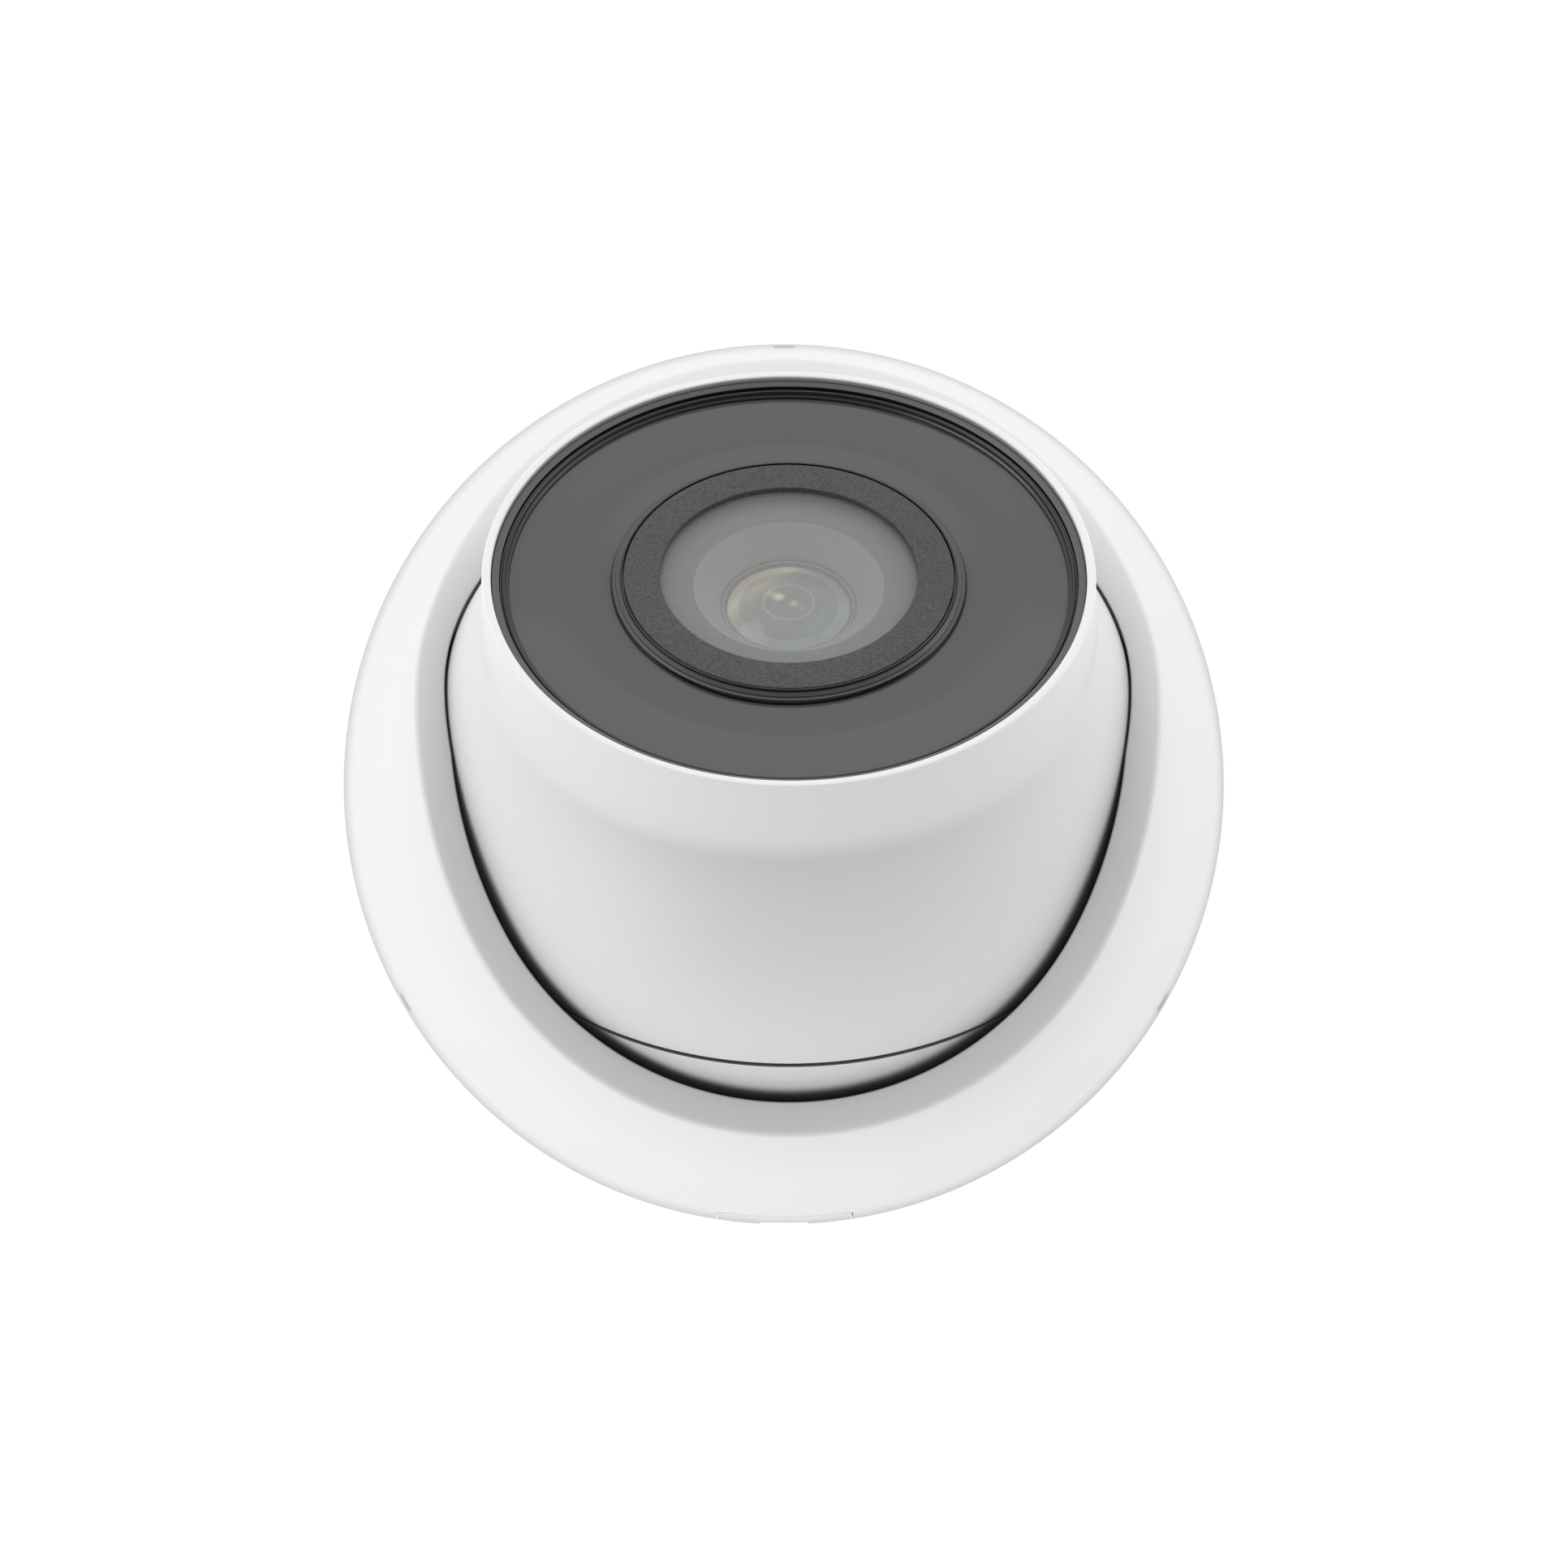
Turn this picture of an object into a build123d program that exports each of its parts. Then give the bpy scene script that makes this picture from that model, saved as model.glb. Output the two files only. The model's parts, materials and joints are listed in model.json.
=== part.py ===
from build123d import *
import math
import os

os.makedirs("parts", exist_ok=True)

# Turret security camera, millimetres and degrees.
# Z = 0 is the face that lies on the wall or ceiling, +Z leaves it, and the origin is
# the centre of that face. The lens leans towards -Y. Every piece is drawn in place.

# ---------------------------------------------------------------- driving dimensions

# ball and its place
ball_radius = 42.0
ball_floor = 3.6            # lowest point of the ball above the mounting face
lens_tilt = 44.6            # lens axis from the base axis, as the camera stands
tilt_limit = 75.0           # steepest lean of the lens axis
ball_gap = 0.35             # air between the ball and what holds it
ball_wall = 2.3
seam_offset = 2.2           # seam behind the ball's centre
seam_width = 0.5
seal_inset = 0.45          # seal's edge behind the ball's surface
seal_lap = 0.2

# snout on the ball
snout_radius = 34.0
snout_taper = 1.8           # widening from the rim back to the ball's centre
snout_reach = 33.2          # rim's distance from the ball's centre
rim_wall = 1.0
rim_round = 0.2
crease_radius = 5.0
crease_place = 0.58         # about where the snout leaves the ball, as a share of its radius

# skirt, the conical trim ring
foot_radius = 55.0
foot_gap = 0.6              # the skirt turns clear of the mounting surface
shoulder_rise = 4.7         # end of the straight cone above the ball's centre
shoulder_room = 3.5         # skirt's outside beyond the ball at that height
rim_rise = 24.7             # level edge above the ball's centre
skirt_wall = 2.2
snout_room = 1.6            # opening beyond the snout when the lens points straight out
snout_clear = 0.8           # room around the snout at its steepest lean
lip_width = 3.8
lip_thickness = 2.0
lip_round = 0.6
front_edge_height = 19.76   # lowest point of the edge, in front, where the slope meets the cone
slant_setback = 1.0         # where the slope would meet the level edge, behind the axis
slant_blend = 40.0
lug_width = 2.5
lug_height = 4.6
lug_proud = 0.45
lug_depth = 1.0
outlet_width = 17.0
outlet_height = 8.6
outlet_round = 2.0
outlet_fit = 0.15
thumb_notch_width = 6.0
thumb_notch_depth = 0.35

# mounting base
base_gap = 0.65             # base plate's edge inside the skirt
base_thickness = 2.4
cable_entry_radius = 20.0
mount_circle = 33.0         # radius of the circle of mounting screws
mount_hole_radius = 2.25
mount_boss_width = 2.2
entry_edge_width = 1.6      # raised edge around the cable entry
rib_height = 1.2
rib_width = 1.4
rib_count = 6
rib_gap = 0.5
catch_clear = 0.49          # catch's edge inside the skirt's bosses
neck_wall = 2.0
neck_height = 5.6
catch_width = 2.3
catch_thickness = 1.6
gasket_inner = 37.0
gasket_width = 3.0
gasket_depth = 1.0

# pieces that hold the skirt on the base
pan_gap = 0.4
retainer_thickness = 2.0
washer_clear = 0.1
boss_radius = 2.2
pan_boss_top = 14.0
pan_boss_cover = 0.25
seat_boss_top = 26.0
seat_boss_cover = 0.9
boss_end = 1.0              # solid end of a boss beyond its screw hole
screw_end = 0.5             # screw's tip short of the hole's end

# cradle under the ball
cup_wall = 1.3
cup_floor = 4.0             # underside of the cup, cut off level
deck_thickness = 1.8
deck_room = 0.2             # cup's deck above the pan bosses
deck_edge_gap = 0.35
track_width = 18.0
track_bridge_angle = 3.0    # strip that closes the top of the track
slot_end_angle = 1.0        # slot beyond the key at either end of its travel
slot_width = 8.2
pad_angle = 34.0            # friction pads, from the lowest point of the cup
pad_radius = 3.5
pad_thickness = 0.6
pad_gap = 0.3
pad_bed = 0.02              # pad's back from the cup

# saddle that the ball turns on
saddle_radius = 15.0
saddle_fit = 0.4
saddle_thickness = 2.05
key_length = 14.0
key_height = 1.7
key_fit = 0.1
saddle_face = 0.05          # saddle's outside inside the ball's surface
spigot_radius = 5.6
spigot_wall = 1.6
spigot_run = 0.06
spigot_lip = 0.8            # bore in the saddle inside the spigot's wall
spigot_set = 0.6            # spigot's end behind the saddle's outside
spigot_gap = 0.2
gland_bore = 2.4
gland_fit = 0.05
gland_flange = 2.5
gland_flange_thickness = 1.5

# screws
screw_radius = 1.1
screw_fit = 0.06
head_radius = 1.9
head_height = 1.3
head_room = 0.3
screw_room = 0.35           # screw heads from the skirt's inside
socket_radius = 0.9
socket_depth = 0.7

# window at the front of the snout
window_recess = 1.8         # window's face behind the rim
window_thickness = 2.4
window_seal = 0.6
bezel_fit = 0.05
bezel_wall = 0.6
bezel_lap = 0.6             # how far the bezel covers the window's edge
bezel_drop = 0.55           # bezel's face behind the rim
bezel_step = 0.6
ledge_width = 2.8
ledge_depth = 4.4
gasket_edge = 0.2

# collar around the lens
collar_radius = 19.8
collar_rise = 1.2
collar_low_step = 0.5
collar_high_step = 0.85
collar_neck = 18.9
collar_fit = 0.1
collar_length = 10.0
trap_outer = 18.3
trap_inner = 14.3
trap_thickness = 0.6
glass_lap = 1.4
glass_thickness = 1.2
hood_mouth = 10.6
hood_drop = 1.9             # hood's mouth behind the collar's face
hood_throat = 7.8
hood_depth = 3.0
hood_wall = 1.2

# lens
lens_front = 27.6           # front of the barrel, from the ball's centre
barrel_head_radius = 7.5
barrel_head_length = 2.8
barrel_radius = 6.0
barrel_length = 16.0
barrel_wall = 0.9
head_wall = 0.4
pocket_floor = 0.6          # head's thickness under the front element
thread_fit = 0.05
front_edge_thickness = 1.5
front_crown = 1.5
front_back_crown = 0.5
middle_thickness = 1.6
middle_crown = 0.9
middle_place = 0.5          # share of the barrel's length from its back
rear_thickness = 1.8
rear_crown = 1.0
rear_back_crown = 0.8
rear_place = 1.2            # from the back of the barrel
retainer_drop = 0.15
retainer_gap = 0.1
retainer_width = 0.35

# lens holder and filter
holder_radius = 8.0
holder_top = 20.0
holder_width = 23.0
holder_depth = 17.0
holder_box_top = 10.6
filter_low = 7.4
filter_thickness = 1.2
filter_window = 5.2
filter_frame = 1.0
filter_height = 9.6
filter_fit = 0.2
coil_depth = 4.0
coil_gap = 0.4
coil_rise = 0.6             # top of the coil above the slide
arm_width = 1.6
arm_reach = 0.5
magnet_depth = 2.0
filter_glass_inset = 0.3
filter_glass_fit = 0.01

# boards
board_thickness = 1.6
sensor_board_width = 34.0
sensor_board_low = 3.0
sensor_width = 9.0
sensor_thickness = 1.0
sensor_room = 0.5
sensor_head_room = 0.8
sensor_area_width = 6.2
sensor_area_height = 4.6
sensor_area_rise = 0.1
sensor_board_round = 2.0
corner_inset = 2.5          # standoffs from the sensor board's edges
chassis_low = 11.0
chassis_thickness = 1.5
chassis_bore_fit = 0.4
chassis_slot_length = 12.0
chassis_slot_width = 5.0
chassis_slot_shift = 2.0
post_radius = 2.2
post_wall = 1.3             # post's axis outside the window ledge
post_edge = 2.4             # chassis beyond the posts
post_lap = 0.2
post_end = 3.0
main_board_radius = 30.0
main_board_low = -9.6
standoff_radius = 2.0
standoff_circle = 26.0
standoff_hole_depth = 8.0
board_screw_bite = 6.0
chip_width = 12.0
chip_height = 1.4
chip_place = (-4, -6)
large_capacitor_radius = 3.0
large_capacitor_height = 5.5
large_capacitor_places = [(14, -8), (14, 0)]
small_capacitor_radius = 2.0
small_capacitor_height = 4.0
small_capacitor_places = [(8, -16)]
plug_socket_height = 5.0
plug_socket_depth = 5.0
plug_socket_width = 10.0
plug_socket_place = (-14, 10)
small_socket_width = 6.0
small_socket_place = (0, 16)
ribbon_width = 12.0
ribbon_thickness = 0.3
ribbon_inset = 0.8          # ribbon's faces from the boards
ribbon_bow = 1.5
ribbon_socket_depth = 3.0
ribbon_socket_height = 1.6
ribbon_socket_rim = 1.0
ribbon_socket_inset = 1.4
bag_width = 26.0
bag_depth = 18.0
bag_low = -22.0
bag_thickness = 5.0
bag_round = 2.5
heat_sink_width = 24.0
heat_sink_height = 4.0
fin_count = 6
fin_depth = 2.6
thermal_pad_margin = 2.0
thermal_pad_thickness = 0.6
led_board_low = 24.4
led_place = 0.56            # lamps' circle, as a share of the way across their board
led_width = 3.4
led_height = 1.9
led_count = 8
led_base_height = 1.2
led_round = 0.4
led_dome_inset = 0.3
led_board_gap = 0.6
led_board_bore_gap = 0.7
light_sensor_radius = 1.5
housing_boss_radius = 3.0
housing_boss_inset = 5.0
rear_boss_extra = 0.4
front_boss_top = 10.0
rear_boss_low = -16.0
boss_seat = -8.0            # where the housing screws' heads bear

# ---------------------------------------------------------------- worked-out dimensions

ball_height = ball_floor + ball_radius
ball_centre = (0, 0, ball_height)
tilt_sine = math.sin(math.radians(lens_tilt))
tilt_cosine = math.cos(math.radians(lens_tilt))
lens_direction = (0, -tilt_sine, tilt_cosine)
lens_axis = Axis(ball_centre, lens_direction)
lens_section = Plane(origin=ball_centre, x_dir=(1, 0, 0), z_dir=(0, -tilt_cosine, -tilt_sine))

rim_height = ball_height + rim_rise
shoulder_height = ball_height + shoulder_rise
shoulder_radius = ball_radius + shoulder_room
opening_radius = ball_radius + ball_gap
rim_radius = snout_radius + snout_room + lip_width
cone_slope = (foot_radius - shoulder_radius) / (shoulder_height - foot_gap)
steepest_direction = (0, -math.sin(math.radians(tilt_limit)), math.cos(math.radians(tilt_limit)))
steepest_plane = Plane(origin=ball_centre, x_dir=(1, 0, 0), z_dir=steepest_direction)

neck_top = base_thickness + neck_height
screw_hole = screw_radius + screw_fit
catch_low = neck_top - catch_thickness
retainer_top = catch_low - pan_gap
retainer_low = retainer_top - retainer_thickness
deck_low = pan_boss_top + deck_room
deck_top = deck_low + deck_thickness
cup_inner = ball_radius + pad_thickness + pad_gap
cup_outer = cup_inner + cup_wall

inner_radius = ball_radius - ball_wall
front_edge = seam_width / 2 - seam_offset
rear_edge = -seam_width / 2 - seam_offset
bore_radius = snout_radius - rim_wall
ledge_radius = bore_radius - ledge_width
window_face = snout_reach - window_recess
window_back = window_face - window_thickness
ledge_face = window_back - window_seal
ledge_back = ledge_face - ledge_depth
bezel_outer = bore_radius - bezel_fit
window_radius = bezel_outer - bezel_wall - bezel_fit
bezel_inner = window_radius - bezel_lap
collar_face = window_face + collar_rise
collar_back = collar_face - collar_length
trap_back = collar_face - trap_thickness
glass_radius = trap_inner + glass_lap
glass_back = trap_back - glass_thickness
hood_top = collar_face - hood_drop
hood_low = hood_top - hood_depth
post_circle = ledge_radius + post_wall
chassis_radius = post_circle + post_edge
boss_circle = ball_radius - housing_boss_inset

recess_outer = ball_radius - saddle_thickness - saddle_fit
recess_inner = recess_outer - ball_wall
recess_radius = saddle_radius + saddle_fit
saddle_outer = ball_radius - saddle_face
saddle_inner = recess_outer + saddle_fit - saddle_face
key_width = slot_width - 2 * key_fit
spigot_end = spigot_set - saddle_outer
gland_seat = spigot_set - recess_inner

back_angles = (90, 210, 330)      # one at the back, two towards the front
front_angles = (30, 150, 270)     # one at the front, two towards the back
seat_angles = (45, 135, 225, 315)

# ---------------------------------------------------------------- shared shapes


def skirt_radius_at(height):
    """Outside radius of the skirt on its straight cone."""
    return foot_radius - cone_slope * (height - foot_gap)


def lens_plane(distance):
    """Plane square to the lens axis, at a distance in front of the ball's centre."""
    return Plane(ball_centre, x_dir=(1, 0, 0), z_dir=lens_direction).offset(distance)


def lens_ring(outer, inner, low, high, mode=Mode.ADD):
    """A flat ring or disc about the lens axis."""
    ring_at(lens_plane(low), outer, inner, high - low, mode)


def base_ring(outer, inner, low, high, mode=Mode.ADD):
    """A flat ring or disc about the base axis."""
    ring_at(Plane.XY.offset(low), outer, inner, high - low, mode)


def ring_at(plane, outer, inner, height, mode):
    with BuildSketch(plane) as outline:
        Circle(outer)
        if inner > 0:
            Circle(inner, mode=Mode.SUBTRACT)
    extrude(outline.sketch, amount=height, mode=mode)


def lens_posts(radius, points, low, high, mode=Mode.ADD):
    """Round posts or holes along the lens axis."""
    posts_at(lens_plane(low), radius, points, high - low, mode)


def base_posts(radius, points, low, high, mode=Mode.ADD):
    """Round posts or holes along the base axis."""
    posts_at(Plane.XY.offset(low), radius, points, high - low, mode)


def posts_at(plane, radius, points, height, mode):
    with BuildSketch(plane) as outline:
        with Locations(*points):
            Circle(radius)
    extrude(outline.sketch, amount=height, mode=mode)


def lens_block(width, depth, low, high, centre=(0, 0), mode=Mode.ADD):
    """A rectangular block square to the lens axis."""
    with BuildSketch(lens_plane(low)) as outline:
        with Locations(centre):
            Rectangle(width, depth)
    extrude(outline.sketch, amount=high - low, mode=mode)


def screws(points, seat, length, plane_at):
    """Socket screws whose heads lie below a seat and whose shanks go up from it."""
    posts_at(plane_at(seat - head_height), head_radius, points, head_height, Mode.ADD)
    posts_at(plane_at(seat), screw_radius, points, length, Mode.ADD)
    with BuildSketch(plane_at(seat - head_height)) as sockets:
        with Locations(*points):
            RegularPolygon(socket_radius, 6)
    extrude(sockets.sketch, amount=socket_depth, mode=Mode.SUBTRACT)


def on_circle(radius, angles):
    """Points on a circle at the given angles."""
    return [(radius * math.cos(math.radians(a)), radius * math.sin(math.radians(a))) for a in angles]


def skirt_section(inset, low, high):
    """Half section of the skirt's solid form, pulled in by a constant width."""
    bottom = (skirt_radius_at(low) - inset, low)
    shoulder = (shoulder_radius - inset, shoulder_height)
    edge = (rim_radius - inset, rim_height)
    with BuildSketch(Plane.XZ) as section:
        with BuildLine():
            Line((0, low), bottom)
            Line(bottom, shoulder)
            TangentArc(shoulder, edge, tangent=(-cone_slope, 1))
            Polyline(edge, (edge[0], high), (0, high), (0, low))
        make_face()
    return section.sketch


def above_edge(drop):
    """Region above the skirt's edge, level behind and sloping down in front."""
    slope = math.radians(slant_angle)
    reach = 2 * foot_radius
    level = rim_height - drop
    corner = (slant_setback + drop * math.tan(slope / 2), level)
    front = (corner[0] - reach, level - reach * math.tan(slope))
    with BuildSketch(Plane.YZ) as region:
        with BuildLine():
            FilletPolyline((reach, level), corner, front, radius=slant_blend - drop)
            Polyline(front, (front[0], level + reach), (reach, level + reach), (reach, level))
        make_face()
    return region.sketch


def level_plane(height):
    """Horizontal plane at a height above the mounting face."""
    return Plane.XY.offset(height)


# ---------------------------------------------------------------- circles that follow the cone

slant_run = skirt_radius_at(front_edge_height) + slant_setback
slant_angle = math.degrees(math.atan((rim_height - front_edge_height) / slant_run))
base_radius = skirt_radius_at(base_thickness) - skirt_wall - base_gap
retainer_radius = skirt_radius_at(retainer_top) - skirt_wall - pan_gap


def boss_circle_at(boss_top, boss_cover, screw_low):
    """Circle of a ring of bosses against the skirt's wall, with room for the screws' heads."""
    against_wall = skirt_radius_at(boss_top) - boss_radius - boss_cover
    head_limit = skirt_radius_at(screw_low) - skirt_wall - head_radius - screw_room
    return min(against_wall, head_limit)


pan_boss_circle = boss_circle_at(pan_boss_top, pan_boss_cover, retainer_low - head_height)
pan_points = on_circle(pan_boss_circle, front_angles)
seat_boss_circle = boss_circle_at(seat_boss_top, seat_boss_cover, deck_low - head_height)
seat_points = on_circle(seat_boss_circle, seat_angles)
catch_radius = pan_boss_circle - boss_radius - catch_clear
neck_radius = catch_radius - catch_width

# ---------------------------------------------------------------- mounting base

mount_points = on_circle(mount_circle, back_angles)

with BuildPart() as mounting_base:
    base_ring(base_radius, cable_entry_radius, 0, base_thickness)
    base_ring(neck_radius, neck_radius - neck_wall, base_thickness, neck_top)
    base_ring(catch_radius, neck_radius - neck_wall, catch_low, neck_top)
    # raised edge around the cable entry, and ribs from it to the neck
    rib_top = base_thickness + rib_height
    base_ring(cable_entry_radius + entry_edge_width, cable_entry_radius, base_thickness, rib_top)
    with BuildSketch(Plane.XY.offset(base_thickness)):
        with PolarLocations((cable_entry_radius + neck_radius) / 2, rib_count, start_angle=0):
            Rectangle(neck_radius - cable_entry_radius - 2 * rib_gap, rib_width)
    extrude(amount=rib_height)
    base_posts(mount_hole_radius + mount_boss_width, mount_points, base_thickness, rib_top)
    base_posts(mount_hole_radius, mount_points, 0, neck_top, mode=Mode.SUBTRACT)
    base_ring(gasket_inner + gasket_width, gasket_inner, 0, gasket_depth, mode=Mode.SUBTRACT)
    # gap in the neck where a side cable leaves
    with BuildSketch(Plane.XY.offset(base_thickness)):
        with Locations((0, neck_radius)):
            Rectangle(outlet_width, 4 * catch_width)
    extrude(amount=neck_height, mode=Mode.SUBTRACT)
mounting_base.part.label = "mounting_base"
export_step(mounting_base.part, "parts/mounting_base.step")

with BuildPart() as base_gasket:
    base_ring(gasket_inner + gasket_width, gasket_inner, 0, gasket_depth)
base_gasket.part.label = "base_gasket"
export_step(base_gasket.part, "parts/base_gasket.step")

# ---------------------------------------------------------------- skirt

with BuildPart() as skirt_hollow:
    revolve(skirt_section(skirt_wall, foot_gap, rim_height + 1), axis=Axis.Z)
    extrude(above_edge(lip_thickness), amount=2 * foot_radius, both=True, mode=Mode.SUBTRACT)

with BuildPart() as trim_ring:
    revolve(skirt_section(0, foot_gap, rim_height + 1), axis=Axis.Z)
    extrude(above_edge(0), amount=2 * foot_radius, both=True, mode=Mode.SUBTRACT)
    lip_edges = trim_ring.edges().filter_by(lambda e: e.center().Z > foot_gap + 1)
    outer_lip = lip_edges.filter_by(lambda e: e.length > ball_radius)
    fillet(outer_lip, radius=lip_round)
    add(skirt_hollow.part, mode=Mode.SUBTRACT)
    # opening: the lip keeps its width, and stands clear of the ball and of the snout's path
    revolve(skirt_section(lip_width, foot_gap, rim_height + 5), axis=Axis.Z, mode=Mode.SUBTRACT)
    with Locations(ball_centre):
        Sphere(opening_radius, mode=Mode.SUBTRACT)
    # bosses for the retainer's screws and for the cup's screws
    base_posts(boss_radius, pan_points, retainer_top, pan_boss_top)
    base_posts(screw_hole, pan_points, retainer_top, pan_boss_top - boss_end, mode=Mode.SUBTRACT)
    base_posts(boss_radius, seat_points, deck_top, seat_boss_top)
    base_posts(screw_hole, seat_points, deck_top, seat_boss_top - boss_end, mode=Mode.SUBTRACT)
    # three small lugs on the foot
    with BuildSketch(Plane.XY.offset(foot_gap)):
        lug_circle = foot_radius - lug_proud - lug_depth / 2
        with PolarLocations(lug_circle, len(front_angles), start_angle=front_angles[0]):
            Rectangle(lug_depth, lug_width)
    extrude(amount=lug_height)
    # side cable outlet
    with BuildSketch(Plane.XZ):
        with Locations((0, foot_gap + outlet_height / 2)):
            RectangleRounded(outlet_width, outlet_height, outlet_round)
        with Locations((0, foot_gap + outlet_height / 4)):
            Rectangle(outlet_width, outlet_height / 2)
    extrude(amount=-2 * foot_radius, mode=Mode.SUBTRACT)
    # room for the snout at its steepest lean
    with BuildSketch(steepest_plane.offset(ball_radius / 2)):
        Circle(snout_radius + snout_clear)
    extrude(amount=snout_reach + snout_clear - ball_radius / 2, mode=Mode.SUBTRACT)
trim_ring.part.label = "trim_ring"
export_step(trim_ring.part, "parts/trim_ring.step")

# plug that closes the side cable outlet
with BuildPart() as outlet_plug:
    revolve(skirt_section(0, foot_gap, outlet_height + foot_gap), axis=Axis.Z)
    revolve(skirt_section(skirt_wall, foot_gap, outlet_height + foot_gap), axis=Axis.Z, mode=Mode.SUBTRACT)
    with BuildSketch(Plane.XZ):
        plug_width = outlet_width - 2 * outlet_fit
        plug_height = outlet_height - outlet_fit
        with Locations((0, foot_gap + plug_height / 2)):
            RectangleRounded(plug_width, plug_height, outlet_round)
        with Locations((0, foot_gap + plug_height / 4)):
            Rectangle(plug_width, plug_height / 2)
    extrude(amount=-2 * foot_radius, mode=Mode.INTERSECT)
    with BuildSketch(Plane.XY.offset(foot_gap)):
        with Locations((0, foot_radius)):
            Rectangle(thumb_notch_width, 2 * thumb_notch_depth)
    extrude(amount=outlet_height / 2, mode=Mode.SUBTRACT)
outlet_plug.part.label = "outlet_plug"
export_step(outlet_plug.part, "parts/outlet_plug.step")

# ring that holds the skirt under the base's catch
with BuildPart() as pan_retainer:
    base_ring(retainer_radius, neck_radius + pan_gap, retainer_low, retainer_top)
    base_posts(screw_hole, pan_points, retainer_low, retainer_top, mode=Mode.SUBTRACT)
pan_retainer.part.label = "pan_retainer"
export_step(pan_retainer.part, "parts/pan_retainer.step")

with BuildPart() as retainer_screws:
    screws(pan_points, retainer_low, pan_boss_top - retainer_low - boss_end - screw_end, level_plane)
retainer_screws.part.label = "retainer_screws"
export_step(retainer_screws.part, "parts/retainer_screws.step")

# slippery washer in the gap between the retainer and the catch
with BuildPart() as pan_washer:
    washer_low = retainer_top
    washer_high = washer_low + pan_gap - washer_clear
    base_ring(catch_radius, neck_radius + pan_gap, washer_low, washer_high)
pan_washer.part.label = "pan_washer"
export_step(pan_washer.part, "parts/pan_washer.step")

# ---------------------------------------------------------------- cradle under the ball


def around_ball(angle):
    """Unit vector in the plane of the tilt, from +Z towards the back."""
    return (math.sin(math.radians(angle)), math.cos(math.radians(angle)))


deck_radius = skirt_radius_at(deck_top) - skirt_wall - deck_edge_gap
key_half_angle = math.degrees(math.asin(key_length / 2 / ball_radius))
slot_top_angle = 180 - tilt_limit - key_half_angle - slot_end_angle
slot_low_angle = 180 + key_half_angle + slot_end_angle
track_top = ball_height + cup_inner * math.cos(math.radians(slot_top_angle - track_bridge_angle))

with BuildPart() as cup_extent:
    base_ring(foot_radius, 0, cup_floor, deck_top)
    with Locations((0, cup_outer / 2, (cup_floor + track_top) / 2)):
        Box(track_width, cup_outer, track_top - cup_floor)

with BuildPart() as seat_cup:
    with Locations(ball_centre):
        Sphere(cup_outer)
    base_ring(deck_radius, 0, deck_low, deck_top)
    add(cup_extent.part, mode=Mode.INTERSECT)
    with Locations(ball_centre):
        Sphere(cup_inner, mode=Mode.SUBTRACT)
    with BuildSketch(Plane.YZ):
        with BuildLine():
            corners = [(0, ball_height)]
            for angle in (slot_top_angle, (slot_top_angle + slot_low_angle) / 2, slot_low_angle):
                across, up = around_ball(angle)
                corners.append((2 * cup_outer * across, ball_height + 2 * cup_outer * up))
            Polyline(*corners, close=True)
        make_face()
    extrude(amount=slot_width / 2, both=True, mode=Mode.SUBTRACT)
    base_posts(screw_hole, seat_points, deck_low, deck_top, mode=Mode.SUBTRACT)
seat_cup.part.label = "seat_cup"
export_step(seat_cup.part, "parts/seat_cup.step")

with BuildPart() as cup_screws:
    screws(seat_points, deck_low, seat_boss_top - deck_low - boss_end - screw_end, level_plane)
cup_screws.part.label = "cup_screws"
export_step(cup_screws.part, "parts/cup_screws.step")

with BuildPart() as friction_pads:
    for angle in front_angles:
        lean = math.radians(pad_angle)
        turn = math.radians(angle)
        towards = (math.sin(lean) * math.cos(turn), math.sin(lean) * math.sin(turn), -math.cos(lean))
        with BuildSketch(Plane(ball_centre, z_dir=towards).offset(cup_inner - pad_radius)):
            Circle(pad_radius)
        extrude(amount=2 * pad_radius)
    with Locations(ball_centre):
        Sphere(cup_inner - pad_bed, mode=Mode.INTERSECT)
        Sphere(cup_inner - pad_thickness, mode=Mode.SUBTRACT)
friction_pads.part.label = "friction_pads"
export_step(friction_pads.part, "parts/friction_pads.step")

# ---------------------------------------------------------------- saddle

with BuildPart() as saddle_key:
    lens_block(key_width, key_length, -2 * ball_radius, -ball_radius / 2)
    with Locations(ball_centre):
        Sphere(saddle_outer + key_height, mode=Mode.INTERSECT)
        Sphere(saddle_inner + saddle_fit, mode=Mode.SUBTRACT)

with BuildPart() as tilt_saddle:
    with Locations(ball_centre):
        Sphere(saddle_outer)
        Sphere(saddle_inner, mode=Mode.SUBTRACT)
    lens_ring(saddle_radius, 0, -2 * ball_radius, -ball_radius / 2, mode=Mode.INTERSECT)
    add(saddle_key.part)
    lens_ring(spigot_radius + spigot_run, 0, spigot_end - spigot_gap, -ball_radius / 2, mode=Mode.SUBTRACT)
    cable_way = spigot_radius - spigot_wall - spigot_lip
    lens_ring(cable_way, 0, -2 * ball_radius, -ball_radius / 2, mode=Mode.SUBTRACT)
tilt_saddle.part.label = "tilt_saddle"
export_step(tilt_saddle.part, "parts/tilt_saddle.step")

# ---------------------------------------------------------------- ball's two shells

housing_points = on_circle(boss_circle, back_angles)
post_points = on_circle(post_circle, front_angles)
crease = (snout_radius + snout_taper / 4, ball_radius * crease_place)

with BuildPart() as front_cavity:
    with Locations(ball_centre):
        Sphere(inner_radius)
    lens_ring(2 * ball_radius, 0, ledge_back, 2 * ball_radius, mode=Mode.SUBTRACT)
    lens_ring(ledge_radius, 0, ledge_back - 1, ledge_face)
    lens_ring(bore_radius, 0, ledge_face, 2 * ball_radius)

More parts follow.
